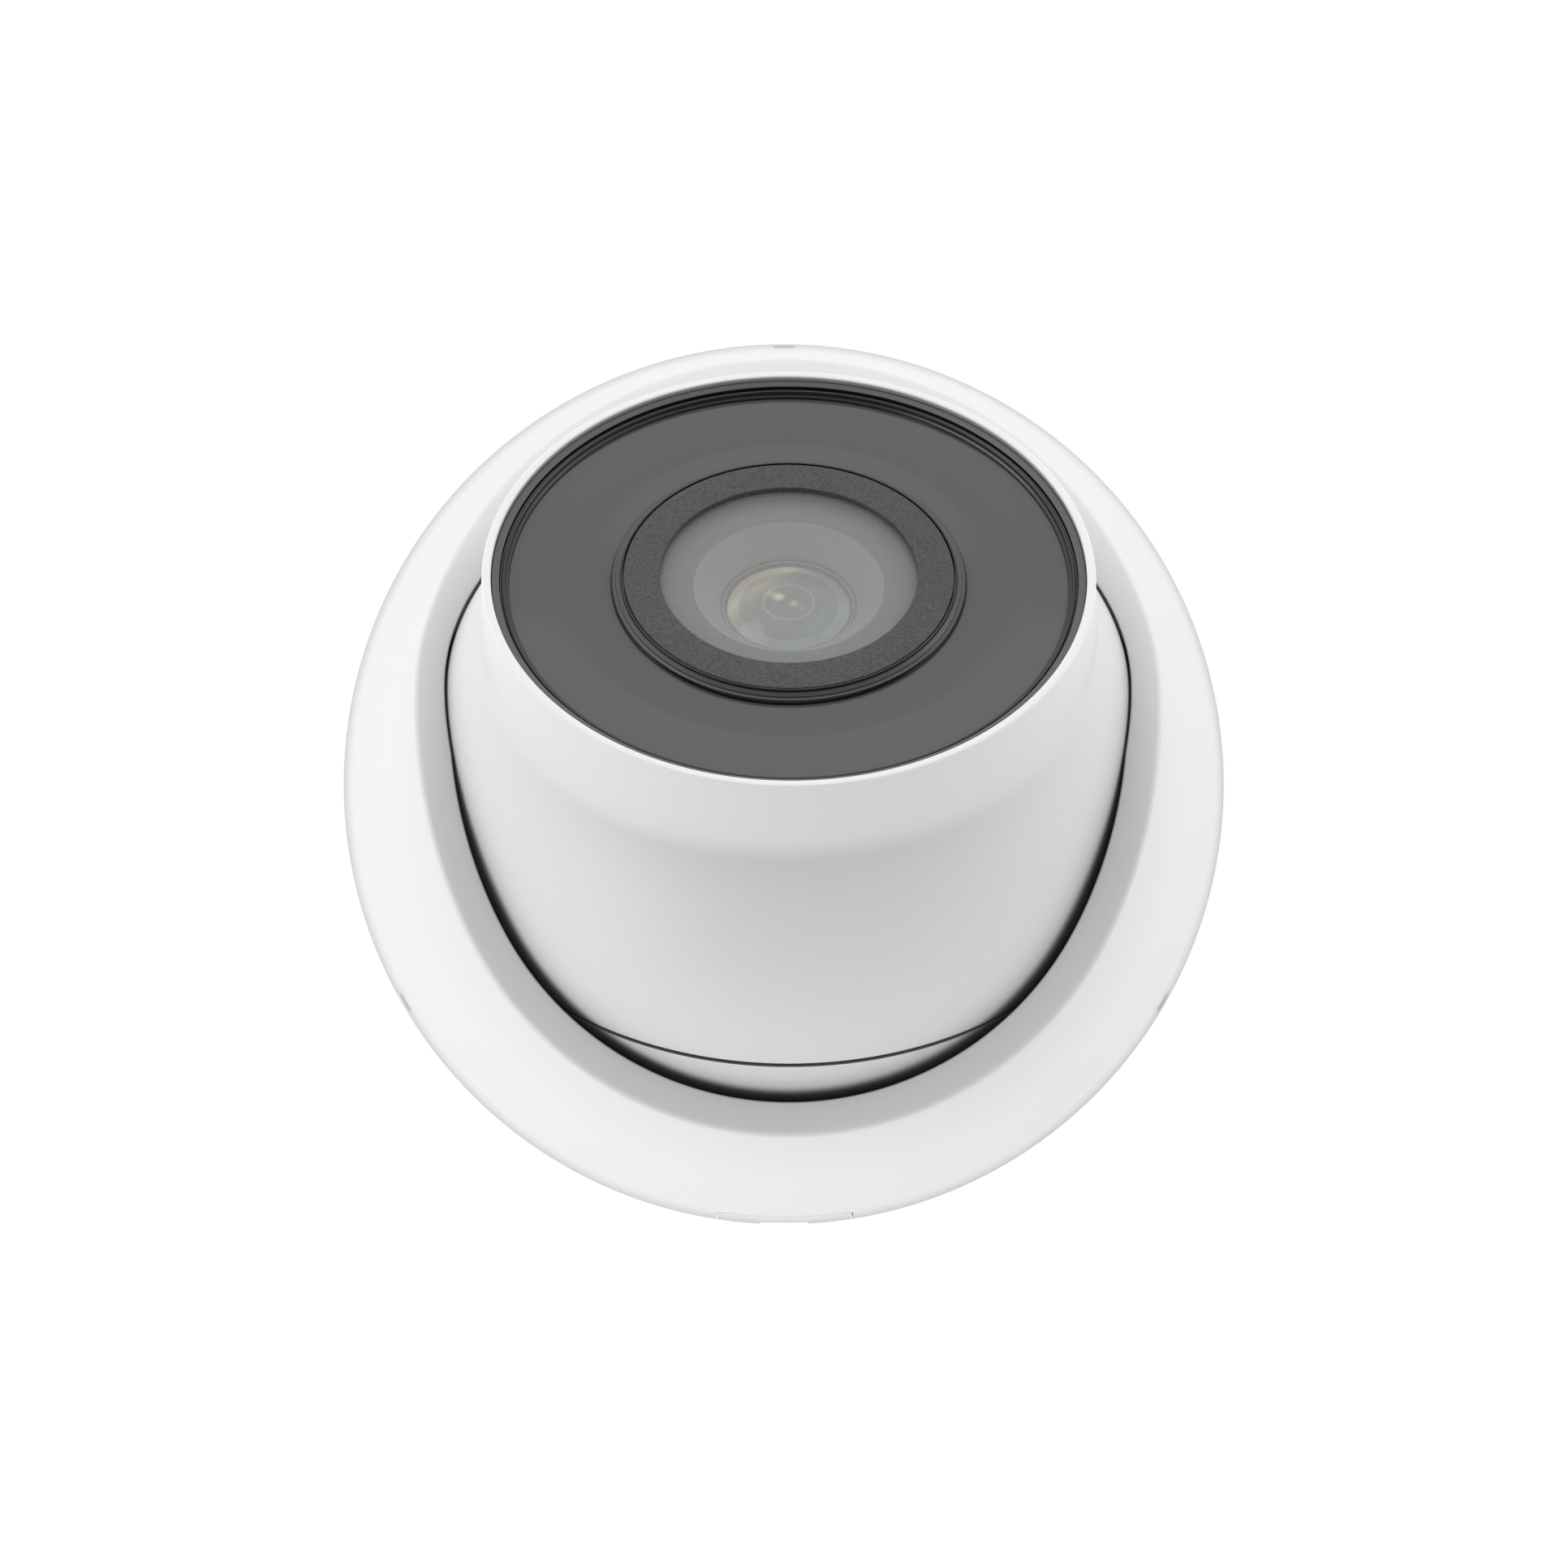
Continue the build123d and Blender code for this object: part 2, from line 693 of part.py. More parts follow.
with BuildPart() as front_housing:
    with BuildSketch(lens_section) as front_outline:
        Circle(ball_radius)
        with BuildLine():
            snout_foot = (snout_radius + snout_taper, 0)
            Polyline((0, 0), snout_foot, (snout_radius, snout_reach), (0, snout_reach), close=True)
        make_face()
        with Locations((-ball_radius, 0)):
            Rectangle(2 * ball_radius, 4 * ball_radius, mode=Mode.SUBTRACT)
        with Locations((0, front_edge - ball_radius)):
            Rectangle(4 * ball_radius, 2 * ball_radius, mode=Mode.SUBTRACT)
        crease_corner = front_outline.vertices().sort_by_distance(crease)[0]
        fillet(crease_corner, radius=crease_radius)
        rim_edge = front_outline.vertices().sort_by_distance((snout_radius, snout_reach))[0]
        fillet(rim_edge, radius=rim_round)
    revolve(axis=lens_axis)
    add(front_cavity.part, mode=Mode.SUBTRACT)
    lens_posts(post_radius, post_points, chassis_low + chassis_thickness, ledge_back + post_lap)
    lens_posts(screw_hole, post_points, chassis_low, ledge_back - post_end, mode=Mode.SUBTRACT)
    lens_posts(housing_boss_radius, housing_points, front_edge, front_boss_top)
    lens_posts(screw_hole, housing_points, front_edge, front_boss_top - boss_end, mode=Mode.SUBTRACT)
front_housing.part.label = "front_housing"
export_step(front_housing.part, "parts/front_housing.step")

with BuildPart() as rear_bosses:
    lens_posts(housing_boss_radius + rear_boss_extra, housing_points, rear_boss_low, rear_edge)
    with Locations(ball_centre):
        Sphere(ball_radius - ball_wall / 2, mode=Mode.INTERSECT)

with BuildPart() as recess_floor:
    with Locations(ball_centre):
        Sphere(inner_radius + ball_wall / 4)
        Sphere(recess_inner, mode=Mode.SUBTRACT)
    lens_ring(recess_radius + ball_wall, 0, -2 * ball_radius, -ball_radius / 2, mode=Mode.INTERSECT)

with BuildPart() as saddle_recess:
    lens_ring(recess_radius, 0, -2 * ball_radius, -ball_radius / 2)
    with Locations(ball_centre):
        Sphere(recess_outer, mode=Mode.SUBTRACT)

with BuildPart() as rear_housing:
    with Locations(ball_centre):
        Sphere(ball_radius)
        Sphere(inner_radius, mode=Mode.SUBTRACT)
    lens_ring(2 * ball_radius, 0, rear_edge, 2 * ball_radius, mode=Mode.SUBTRACT)
    add(recess_floor.part)
    add(saddle_recess.part, mode=Mode.SUBTRACT)
    lens_ring(spigot_radius, 0, spigot_end, gland_seat - gland_fit * 2)
    lens_ring(spigot_radius - spigot_wall, 0, -2 * ball_radius, -ball_radius / 2, mode=Mode.SUBTRACT)
    add(rear_bosses.part)
    lens_posts(head_radius + head_room, housing_points, -ball_radius, boss_seat, mode=Mode.SUBTRACT)
    lens_posts(screw_hole, housing_points, boss_seat, rear_edge, mode=Mode.SUBTRACT)
rear_housing.part.label = "rear_housing"
export_step(rear_housing.part, "parts/rear_housing.step")

with BuildPart() as housing_seal:
    lens_ring(ball_radius - seal_inset, inner_radius + seal_lap, rear_edge, front_edge)
housing_seal.part.label = "housing_seal"
export_step(housing_seal.part, "parts/housing_seal.step")

with BuildPart() as housing_screws:
    screws(housing_points, boss_seat, front_boss_top - boss_seat - boss_end - screw_end, lens_plane)
housing_screws.part.label = "housing_screws"
export_step(housing_screws.part, "parts/housing_screws.step")

with BuildPart() as cable_gland:
    gland_radius = spigot_radius - spigot_wall - gland_fit
    lens_ring(gland_radius, gland_bore, spigot_end + spigot_gap, gland_seat)
    lens_ring(gland_radius + gland_flange, gland_bore, gland_seat, gland_seat + gland_flange_thickness)
cable_gland.part.label = "cable_gland"
export_step(cable_gland.part, "parts/cable_gland.step")

# ---------------------------------------------------------------- window and its frame

with BuildPart() as window_gasket:
    lens_ring(bore_radius - gasket_edge, ledge_radius + gasket_edge, ledge_face, window_back)
window_gasket.part.label = "window_gasket"
export_step(window_gasket.part, "parts/window_gasket.step")

with BuildPart() as ir_window:
    lens_ring(window_radius, collar_neck + collar_fit, window_back, window_face)
ir_window.part.label = "ir_window"
export_step(ir_window.part, "parts/ir_window.step")

with BuildPart() as window_bezel:
    lens_ring(bezel_outer, bezel_outer - bezel_wall, window_back, snout_reach - bezel_drop)
    lens_ring(bezel_outer, bezel_inner, window_face, window_face + bezel_step)
window_bezel.part.label = "window_bezel"
export_step(window_bezel.part, "parts/window_bezel.step")

# ---------------------------------------------------------------- collar around the lens

collar_middle = (collar_radius + collar_neck) / 2
collar_steps = (
    (collar_radius, collar_low_step),
    (collar_middle, collar_high_step),
    (collar_neck, collar_rise),
)
hood_radius = trap_inner

with BuildPart() as lens_collar:
    lens_ring(collar_neck, 0, collar_back, window_face)
    for radius, rise in collar_steps:
        lens_ring(radius, 0, window_face, window_face + rise)
    lens_ring(trap_outer + collar_fit, 0, trap_back, collar_face, mode=Mode.SUBTRACT)
    lens_ring(glass_radius + collar_fit, 0, glass_back, trap_back, mode=Mode.SUBTRACT)
    lens_ring(hood_radius + collar_fit, 0, collar_back, glass_back, mode=Mode.SUBTRACT)
lens_collar.part.label = "lens_collar"
export_step(lens_collar.part, "parts/lens_collar.step")

with BuildPart() as light_trap:
    lens_ring(trap_outer, trap_inner, trap_back, collar_face)
light_trap.part.label = "light_trap"
export_step(light_trap.part, "parts/light_trap.step")

with BuildPart() as cover_glass:
    lens_ring(glass_radius, 0, glass_back, trap_back)
cover_glass.part.label = "cover_glass"
export_step(cover_glass.part, "parts/cover_glass.step")

with BuildPart() as lens_hood:
    with BuildSketch(lens_section):
        with BuildLine():
            Polyline(
                (hood_mouth, hood_top),
                (hood_radius, hood_top),
                (hood_radius, hood_top - 4 * hood_wall),
                (hood_radius - hood_wall, hood_top - 4 * hood_wall),
                (hood_radius - hood_wall, hood_top - hood_wall),
                (hood_mouth + hood_wall / 2, hood_top - hood_wall),
                (hood_throat + hood_wall, hood_low),
                (hood_throat, hood_low),
                close=True,
            )
        make_face()
    revolve(axis=lens_axis)
lens_hood.part.label = "lens_hood"
export_step(lens_hood.part, "parts/lens_hood.step")

# ---------------------------------------------------------------- lens

barrel_back = lens_front - barrel_length
pocket_radius = barrel_head_radius - head_wall
pocket_low = lens_front - barrel_head_length + pocket_floor
front_element_radius = pocket_radius - thread_fit
front_element_edge = pocket_low + front_edge_thickness
barrel_bore = barrel_radius - barrel_wall
element_radius = barrel_bore - thread_fit

with BuildPart() as lens_barrel:
    lens_ring(barrel_radius, 0, barrel_back, lens_front)
    lens_ring(barrel_head_radius, 0, lens_front - barrel_head_length, lens_front)
    lens_ring(pocket_radius, 0, pocket_low, lens_front, mode=Mode.SUBTRACT)
    lens_ring(barrel_bore, 0, barrel_back, pocket_low, mode=Mode.SUBTRACT)
lens_barrel.part.label = "lens_barrel"
export_step(lens_barrel.part, "parts/lens_barrel.step")


def dome_at_half(radius, crown):
    """Height of a spherical dome at half its radius."""
    sphere = (radius**2 + crown**2) / (2 * crown)
    return crown - sphere + math.sqrt(sphere**2 - radius**2 / 4)


def lens_element_section(radius, low, high, crown, back_crown):
    """Half section of a glass element with a domed front and back."""
    with BuildSketch(lens_section) as section:
        with BuildLine():
            Line((0, low - back_crown), (0, high + crown))
            ThreePointArc((0, high + crown), (radius / 2, high + dome_at_half(radius, crown)), (radius, high))
            Line((radius, high), (radius, low))
            back_half = (radius / 2, low - dome_at_half(radius, back_crown))
            ThreePointArc((radius, low), back_half, (0, low - back_crown))
        make_face()
    return section.sketch


with BuildPart() as front_element:
    lens_ring(front_element_radius, 0, pocket_low, front_element_edge)
    dome_radius = front_element_radius - retainer_width - retainer_gap
    dome_low = pocket_low + front_back_crown
    dome = lens_element_section(dome_radius, dome_low, front_element_edge, front_crown, front_back_crown)
    revolve(dome, axis=lens_axis)
front_element.part.label = "front_element"
export_step(front_element.part, "parts/front_element.step")

with BuildPart() as element_retainer:
    retainer_inner = front_element_radius - retainer_width
    lens_ring(front_element_radius, retainer_inner, front_element_edge, lens_front - retainer_drop)
element_retainer.part.label = "element_retainer"
export_step(element_retainer.part, "parts/element_retainer.step")

with BuildPart() as middle_element:
    middle_low = barrel_back + middle_place * barrel_length
    middle_top = middle_low + middle_thickness
    middle = lens_element_section(element_radius, middle_low, middle_top, middle_crown, middle_crown)
    revolve(middle, axis=lens_axis)
middle_element.part.label = "middle_element"
export_step(middle_element.part, "parts/middle_element.step")

with BuildPart() as rear_element:
    rear_low = barrel_back + rear_place
    rear_top = rear_low + rear_thickness
    rear = lens_element_section(element_radius, rear_low, rear_top, rear_crown, rear_back_crown)
    revolve(rear, axis=lens_axis)
rear_element.part.label = "rear_element"
export_step(rear_element.part, "parts/rear_element.step")

# ---------------------------------------------------------------- boards and frame

sensor_board_top = sensor_board_low + board_thickness
main_board_top = main_board_low + board_thickness
chassis_top = chassis_low + chassis_thickness
corner_reach = sensor_board_width / 2 - corner_inset
corner_points = [(x, y) for x in (-corner_reach, corner_reach) for y in (-corner_reach, corner_reach)]
standoff_points = on_circle(standoff_circle, back_angles)
slot_circle = (holder_radius + chassis_radius) / 2 + chassis_slot_shift

with BuildPart() as chassis_plate:
    lens_ring(chassis_radius, holder_radius + chassis_bore_fit, chassis_low, chassis_top)
    lens_posts(screw_hole, post_points, chassis_low, chassis_top, mode=Mode.SUBTRACT)
    with BuildSketch(lens_plane(chassis_low)):
        with PolarLocations(slot_circle, len(front_angles), start_angle=front_angles[0]):
            SlotOverall(chassis_slot_length, chassis_slot_width, rotation=90)
    extrude(amount=chassis_thickness, mode=Mode.SUBTRACT)
chassis_plate.part.label = "chassis_plate"
export_step(chassis_plate.part, "parts/chassis_plate.step")

with BuildPart() as chassis_screws:
    screws(post_points, chassis_low, ledge_back - post_end - chassis_low - 2 * screw_end, lens_plane)
chassis_screws.part.label = "chassis_screws"
export_step(chassis_screws.part, "parts/chassis_screws.step")

with BuildPart() as sensor_board:
    lens_block(sensor_board_width, sensor_board_width, sensor_board_low, sensor_board_top)
    board_corners = sensor_board.edges().filter_by(lens_axis)
    fillet(board_corners, radius=sensor_board_round)
sensor_board.part.label = "sensor_board"
export_step(sensor_board.part, "parts/sensor_board.step")

with BuildPart() as sensor_standoffs:
    with BuildSketch(lens_plane(sensor_board_top)):
        with Locations(*corner_points):
            RegularPolygon(standoff_radius, 6)
    extrude(amount=chassis_low - sensor_board_top)
sensor_standoffs.part.label = "sensor_standoffs"
export_step(sensor_standoffs.part, "parts/sensor_standoffs.step")

with BuildPart() as image_sensor:
    lens_block(sensor_width, sensor_width, sensor_board_top, sensor_board_top + sensor_thickness)
    sensor_top = sensor_board_top + sensor_thickness
    lens_block(sensor_area_width, sensor_area_height, sensor_top, sensor_top + sensor_area_rise)
image_sensor.part.label = "image_sensor"
export_step(image_sensor.part, "parts/image_sensor.step")

with BuildPart() as main_board:
    lens_ring(main_board_radius, 0, main_board_low, main_board_top)
    lens_posts(screw_hole, standoff_points, main_board_low, main_board_top, mode=Mode.SUBTRACT)
main_board.part.label = "main_board"
export_step(main_board.part, "parts/main_board.step")

with BuildPart() as board_standoffs:
    with BuildSketch(lens_plane(main_board_top)):
        with Locations(*standoff_points):
            RegularPolygon(standoff_radius, 6)
    extrude(amount=chassis_low - main_board_top)
    hole_end = main_board_top + standoff_hole_depth
    lens_posts(screw_hole, standoff_points, main_board_top, hole_end, mode=Mode.SUBTRACT)
board_standoffs.part.label = "board_standoffs"
export_step(board_standoffs.part, "parts/board_standoffs.step")

with BuildPart() as board_screws:
    screws(standoff_points, main_board_low, board_thickness + board_screw_bite, lens_plane)
board_screws.part.label = "board_screws"
export_step(board_screws.part, "parts/board_screws.step")

with BuildPart() as main_chip:
    lens_block(chip_width, chip_width, main_board_low - chip_height, main_board_low, centre=chip_place)
main_chip.part.label = "main_chip"
export_step(main_chip.part, "parts/main_chip.step")

with BuildPart() as capacitors:
    large_low = main_board_low - large_capacitor_height
    lens_posts(large_capacitor_radius, large_capacitor_places, large_low, main_board_low)
    small_low = main_board_low - small_capacitor_height
    lens_posts(small_capacitor_radius, small_capacitor_places, small_low, main_board_low)
capacitors.part.label = "capacitors"
export_step(capacitors.part, "parts/capacitors.step")

ribbon_out = sensor_board_width / 2 + ribbon_bow
connector_back = sensor_board_width / 2 - ribbon_socket_inset
connector_middle = connector_back - ribbon_socket_depth / 2
ribbon_high = sensor_board_low - ribbon_inset
ribbon_low = main_board_top + ribbon_inset

with BuildPart() as board_connectors:
    connector_centre = (0, connector_middle)
    connector_width = ribbon_width + 2 * ribbon_socket_rim
    upper_low = sensor_board_low - ribbon_socket_height
    lower_top = main_board_top + ribbon_socket_height
    socket_low = main_board_low - plug_socket_height
    lens_block(connector_width, ribbon_socket_depth, upper_low, sensor_board_low, connector_centre)
    lens_block(connector_width, ribbon_socket_depth, main_board_top, lower_top, connector_centre)
    lens_block(plug_socket_width, plug_socket_depth, socket_low, main_board_low, plug_socket_place)
    lens_block(small_socket_width, plug_socket_depth, socket_low, main_board_low, small_socket_place)
board_connectors.part.label = "board_connectors"
export_step(board_connectors.part, "parts/board_connectors.step")

with BuildPart() as ribbon_cable:
    leg = ribbon_out - connector_back
    leg_centre = (0, connector_back + leg / 2)
    lens_block(ribbon_width, leg, ribbon_high - ribbon_thickness, ribbon_high, leg_centre)
    lens_block(ribbon_width, leg, ribbon_low, ribbon_low + ribbon_thickness, leg_centre)
    strip_centre = (0, ribbon_out - ribbon_thickness / 2)
    lens_block(ribbon_width, ribbon_thickness, ribbon_low, ribbon_high, strip_centre)
ribbon_cable.part.label = "ribbon_cable"
export_step(ribbon_cable.part, "parts/ribbon_cable.step")

with BuildPart() as thermal_pad:
    pad_low = sensor_board_low - thermal_pad_thickness
    thermal_pad_width = heat_sink_width - 2 * thermal_pad_margin
    lens_block(thermal_pad_width, thermal_pad_width, pad_low, sensor_board_low)
thermal_pad.part.label = "thermal_pad"
export_step(thermal_pad.part, "parts/thermal_pad.step")

with BuildPart() as heat_sink:
    lens_block(heat_sink_width, heat_sink_width, pad_low - heat_sink_height, pad_low)
    with BuildSketch(lens_plane(pad_low - heat_sink_height)):
        with GridLocations(heat_sink_width / fin_count, 0, fin_count - 1, 1):
            Rectangle(heat_sink_width / fin_count / 2, heat_sink_width)
    extrude(amount=fin_depth, mode=Mode.SUBTRACT)
heat_sink.part.label = "heat_sink"
export_step(heat_sink.part, "parts/heat_sink.step")

# ---------------------------------------------------------------- infra-red lamps

led_board_top = led_board_low + board_thickness
led_board_outer = ledge_radius - led_board_gap
led_board_inner = collar_neck + led_board_bore_gap
led_circle = led_board_inner + led_place * (led_board_outer - led_board_inner)
led_points = on_circle(led_circle, [360 / led_count * n for n in range(led_count)])

with BuildPart() as led_board:
    lens_ring(led_board_outer, led_board_inner, led_board_low, led_board_top)
led_board.part.label = "led_board"
export_step(led_board.part, "parts/led_board.step")

with BuildPart() as ir_leds:
    with BuildSketch(lens_plane(led_board_top)):
        with PolarLocations(led_circle, led_count):
            RectangleRounded(led_width, led_width, led_round)
    extrude(amount=led_base_height)
    lens_posts(led_width / 2 - led_dome_inset, led_points, led_board_top, led_board_top + led_height)
ir_leds.part.label = "ir_leds"
export_step(ir_leds.part, "parts/ir_leds.step")

with BuildPart() as light_sensor:
    sensor_spot = on_circle(led_circle, [180 / led_count])
    lens_posts(light_sensor_radius, sensor_spot, led_board_top, led_board_top + led_height)
light_sensor.part.label = "light_sensor"
export_step(light_sensor.part, "parts/light_sensor.step")

# ---------------------------------------------------------------- lens holder and filter

filter_travel = filter_window + filter_frame
slide_length = 2 * filter_window + 3 * filter_frame
slide_centre = -filter_travel / 2
slot_half = filter_window / 2 + 2 * filter_frame + filter_window + filter_fit
arm_out = holder_depth / 2 + arm_reach
filter_high = filter_low + filter_thickness

with BuildPart() as lens_holder:
    lens_block(holder_width, holder_depth, sensor_board_top, holder_box_top)
    lens_ring(holder_radius, 0, holder_box_top, holder_top)
    lens_ring(barrel_radius + thread_fit, 0, filter_high + filter_fit, holder_top, mode=Mode.SUBTRACT)
    lens_ring(filter_window / 2, 0, sensor_board_top, holder_box_top, mode=Mode.SUBTRACT)
    room = sensor_width + 2 * sensor_room
    room_top = sensor_board_top + sensor_thickness + sensor_head_room
    lens_block(room, room, sensor_board_top, room_top, mode=Mode.SUBTRACT)
    slot_low = filter_low - filter_fit
    slot_high = filter_high + filter_fit
    lens_block(2 * slot_half, filter_height + 2 * filter_fit, slot_low, slot_high, mode=Mode.SUBTRACT)
    # opening in the wall for the slide's arm
    arm_opening = filter_travel + arm_width + 2 * filter_fit
    lens_block(arm_opening, holder_depth, slot_low, slot_high, (0, -holder_depth / 2), mode=Mode.SUBTRACT)
lens_holder.part.label = "lens_holder"
export_step(lens_holder.part, "parts/lens_holder.step")

with BuildPart() as filter_slide:
    lens_block(slide_length, filter_height, filter_low, filter_high, (slide_centre, 0))
    arm_length = arm_out - filter_height / 2
    arm_centre = (slide_centre, -(arm_out + filter_height / 2) / 2)
    lens_block(arm_width, arm_length, filter_low, filter_high, arm_centre)
    for window_centre in (0, -filter_travel):
        opening = (window_centre, 0)
        lens_block(filter_window, filter_window, filter_low, filter_high, opening, mode=Mode.SUBTRACT)
filter_slide.part.label = "filter_slide"
export_step(filter_slide.part, "parts/filter_slide.step")

with BuildPart() as filter_magnet:
    magnet_centre = (slide_centre, -arm_out - magnet_depth / 2)
    lens_block(2 * arm_width, magnet_depth, filter_low, filter_high, magnet_centre)
filter_magnet.part.label = "filter_magnet"
export_step(filter_magnet.part, "parts/filter_magnet.step")

glass_width = filter_window - 2 * filter_glass_fit
glass_low = filter_low + filter_glass_inset
glass_top = filter_high - filter_glass_inset

with BuildPart() as ir_cut_filter:
    lens_block(glass_width, glass_width, glass_low, glass_top)
ir_cut_filter.part.label = "ir_cut_filter"
export_step(ir_cut_filter.part, "parts/ir_cut_filter.step")

with BuildPart() as clear_filter:
    lens_block(glass_width, glass_width, glass_low, glass_top, (-filter_travel, 0))
clear_filter.part.label = "clear_filter"
export_step(clear_filter.part, "parts/clear_filter.step")

with BuildPart() as filter_coil:
    coil_middle = -arm_out - magnet_depth - coil_gap - coil_depth / 2
    coil_width = filter_travel + 4 * arm_width
    lens_block(coil_width, coil_depth, sensor_board_top, filter_high + coil_rise, (0, coil_middle))
filter_coil.part.label = "filter_coil"
export_step(filter_coil.part, "parts/filter_coil.step")

# ---------------------------------------------------------------- loose in the ball

with BuildPart() as desiccant_bag:
    lens_block(bag_width, bag_depth, bag_low, bag_low + bag_thickness)
    fillet(desiccant_bag.edges().filter_by(lens_axis), radius=bag_round)
desiccant_bag.part.label = "desiccant_bag"
export_step(desiccant_bag.part, "parts/desiccant_bag.step")
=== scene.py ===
import json
import math

import bmesh
import bpy
from mathutils import Matrix, Vector


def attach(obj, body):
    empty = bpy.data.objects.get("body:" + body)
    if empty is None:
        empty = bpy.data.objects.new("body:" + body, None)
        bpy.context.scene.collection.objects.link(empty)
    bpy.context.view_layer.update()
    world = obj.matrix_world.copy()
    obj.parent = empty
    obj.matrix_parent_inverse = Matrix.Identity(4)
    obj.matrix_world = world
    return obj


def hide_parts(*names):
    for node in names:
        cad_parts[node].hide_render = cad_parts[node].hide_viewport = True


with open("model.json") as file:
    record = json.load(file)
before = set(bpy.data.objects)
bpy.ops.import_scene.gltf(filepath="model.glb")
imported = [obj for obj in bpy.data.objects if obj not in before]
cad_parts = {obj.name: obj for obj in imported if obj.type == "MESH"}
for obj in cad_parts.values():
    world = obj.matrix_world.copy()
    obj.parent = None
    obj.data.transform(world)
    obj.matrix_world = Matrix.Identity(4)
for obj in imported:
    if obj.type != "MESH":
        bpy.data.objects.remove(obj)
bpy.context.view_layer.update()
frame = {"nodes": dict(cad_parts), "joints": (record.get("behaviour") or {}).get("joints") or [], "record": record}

scene = bpy.context.scene
mm = 0.001

# ------------------------------------------------------------------ the camera's own sizes, mm

ball_radius = 42.0
ball_wall = 2.3
ball_gap = 0.35
crease_round = 5.0
seal_outer = 41.1
seal_inner = 39.9
shell_edge_round = 0.18
front_edge = -1.95
rear_edge = -2.45
snout_radius = 34.0
snout_taper = 1.8
snout_reach = 33.2
bore_radius = 33.0
ledge_face = 28.4
ledge_back = 24.0
ledge_radius = 30.2

foot_radius = 55.0
foot_gap = 0.6
shoulder_rise = 4.7
shoulder_radius = 45.5
rim_rise = 24.7
rim_radius = 39.4
skirt_wall = 2.2
lip_width = 3.8
lip_thickness = 2.0
lip_round = 0.6
front_edge_height = 19.76
slant_setback = 1.0
slant_blend = 40.0
steepest_lean = math.radians(75.0)
snout_clear = 0.8
least_lip = 0.6
least_wall = 0.8
lip_inner_round = 0.25
lug_width = 2.5
lug_height = 4.6
lug_proud = 0.45
lug_depth = 1.0
lug_round = 0.18
lug_turns = (30, 150, 270)
outlet_width = 17.0
outlet_height = 8.6
outlet_round = 2.0
outlet_start = 48.0
outlet_through = 12.0

window_face = 31.4
window_back = 29.0
window_edge = 32.3
collar_radius = 19.8
collar_neck = 18.9
collar_back = 22.6
trap_outer = 18.3
trap_inner = 14.3
trap_back = 32.02
glass_radius = 15.7
glass_back = 30.81
glass_face = 31.99
hood_mouth = 10.6
hood_throat = 7.6
hood_top = 30.7
hood_outer = 14.3
hood_inner = 13.1
hood_foot = 25.9
lens_front = 27.6
barrel_head = 7.5
barrel_radius = 6.0
barrel_back = 11.6
barrel_bore = 5.1
pocket_radius = 7.1
pocket_floor = 25.4
element_radius = 7.05
element_edge = 27.25
dome_radius = 6.95
dome_crown = 1.15
element_back = 25.42
baffle_back = 22.6
baffle_outer = 5.05
baffle_hole = 1.7

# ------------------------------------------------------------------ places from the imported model

joints = {joint["name"]: joint for joint in frame["joints"]}
ball_centre = Vector(joints["tilt"]["pos_m"])
lens_axis = Vector(joints["lens_rotation"]["axis"]).normalized()
across = Vector((1, 0, 0))
upward = lens_axis.cross(across)
lens_place = Matrix.Translation(ball_centre) @ Matrix((across, upward, lens_axis)).transposed().to_4x4()
base_place = Matrix.Identity(4)
ball_height = ball_centre.z / mm
shoulder_height = ball_height + shoulder_rise
rim_height = ball_height + rim_rise
cone_slope = (foot_radius - shoulder_radius) / (shoulder_height - foot_gap)
slant_run = foot_radius - cone_slope * (front_edge_height - foot_gap) + slant_setback
slant_angle = math.atan((rim_height - front_edge_height) / slant_run)

# ------------------------------------------------------------------ camera and light

camera_place = Vector((4.7, 4.0, 600.0)) * mm

camera = bpy.data.objects.new("camera", bpy.data.cameras.new("camera"))
scene.collection.objects.link(camera)
scene.camera = camera
camera.data.sensor_width = 36.0
camera.data.lens = 110.1
camera.data.clip_start = 0.02
camera.data.clip_end = 20.0
camera.location = camera_place
sight = camera_place.normalized()
right = Vector((0, -1, 0)).cross(sight).normalized()
camera_turn = Matrix((right, sight.cross(right), sight)).transposed().to_4x4()
camera.matrix_world = Matrix.Translation(camera_place) @ camera_turn

scene.view_settings.view_transform = "Standard"
scene.view_settings.look = "None"


def node(tree, kind, links=(), **values):
    """Adds a shader node; sockets are set by value or fed from another node's output."""
    made = tree.nodes.new(kind)
    for name, value in values.items():
        setattr(made, name, value)
    for socket, source in dict(links).items():
        if isinstance(source, bpy.types.NodeSocket):
            tree.links.new(source, made.inputs[socket])
        else:
            made.inputs[socket].default_value = source
    return made


def math_node(tree, operation, first, second=0.5, third=0.0):
    """A sum on one, two or three numbers or sockets."""
    return node(tree, "ShaderNodeMath", {0: first, 1: second, 2: third}, operation=operation).outputs[0]


def colour_mix(tree, mask, first, second):
    """The first colour where the mask is 0 and the second where it is 1."""
    made = node(tree, "ShaderNodeMix", {0: mask}, data_type="RGBA")
    sides = [socket for socket in made.inputs if socket.type == "RGBA"]
    for socket, source in zip(sides, (first, second)):
        if isinstance(source, bpy.types.NodeSocket):
            tree.links.new(source, socket)
        else:
            socket.default_value = source
    return next(socket for socket in made.outputs if socket.type == "RGBA")


def object_place(tree):
    """Places on the object itself, which move with it."""
    return node(tree, "ShaderNodeTexCoord").outputs["Object"]


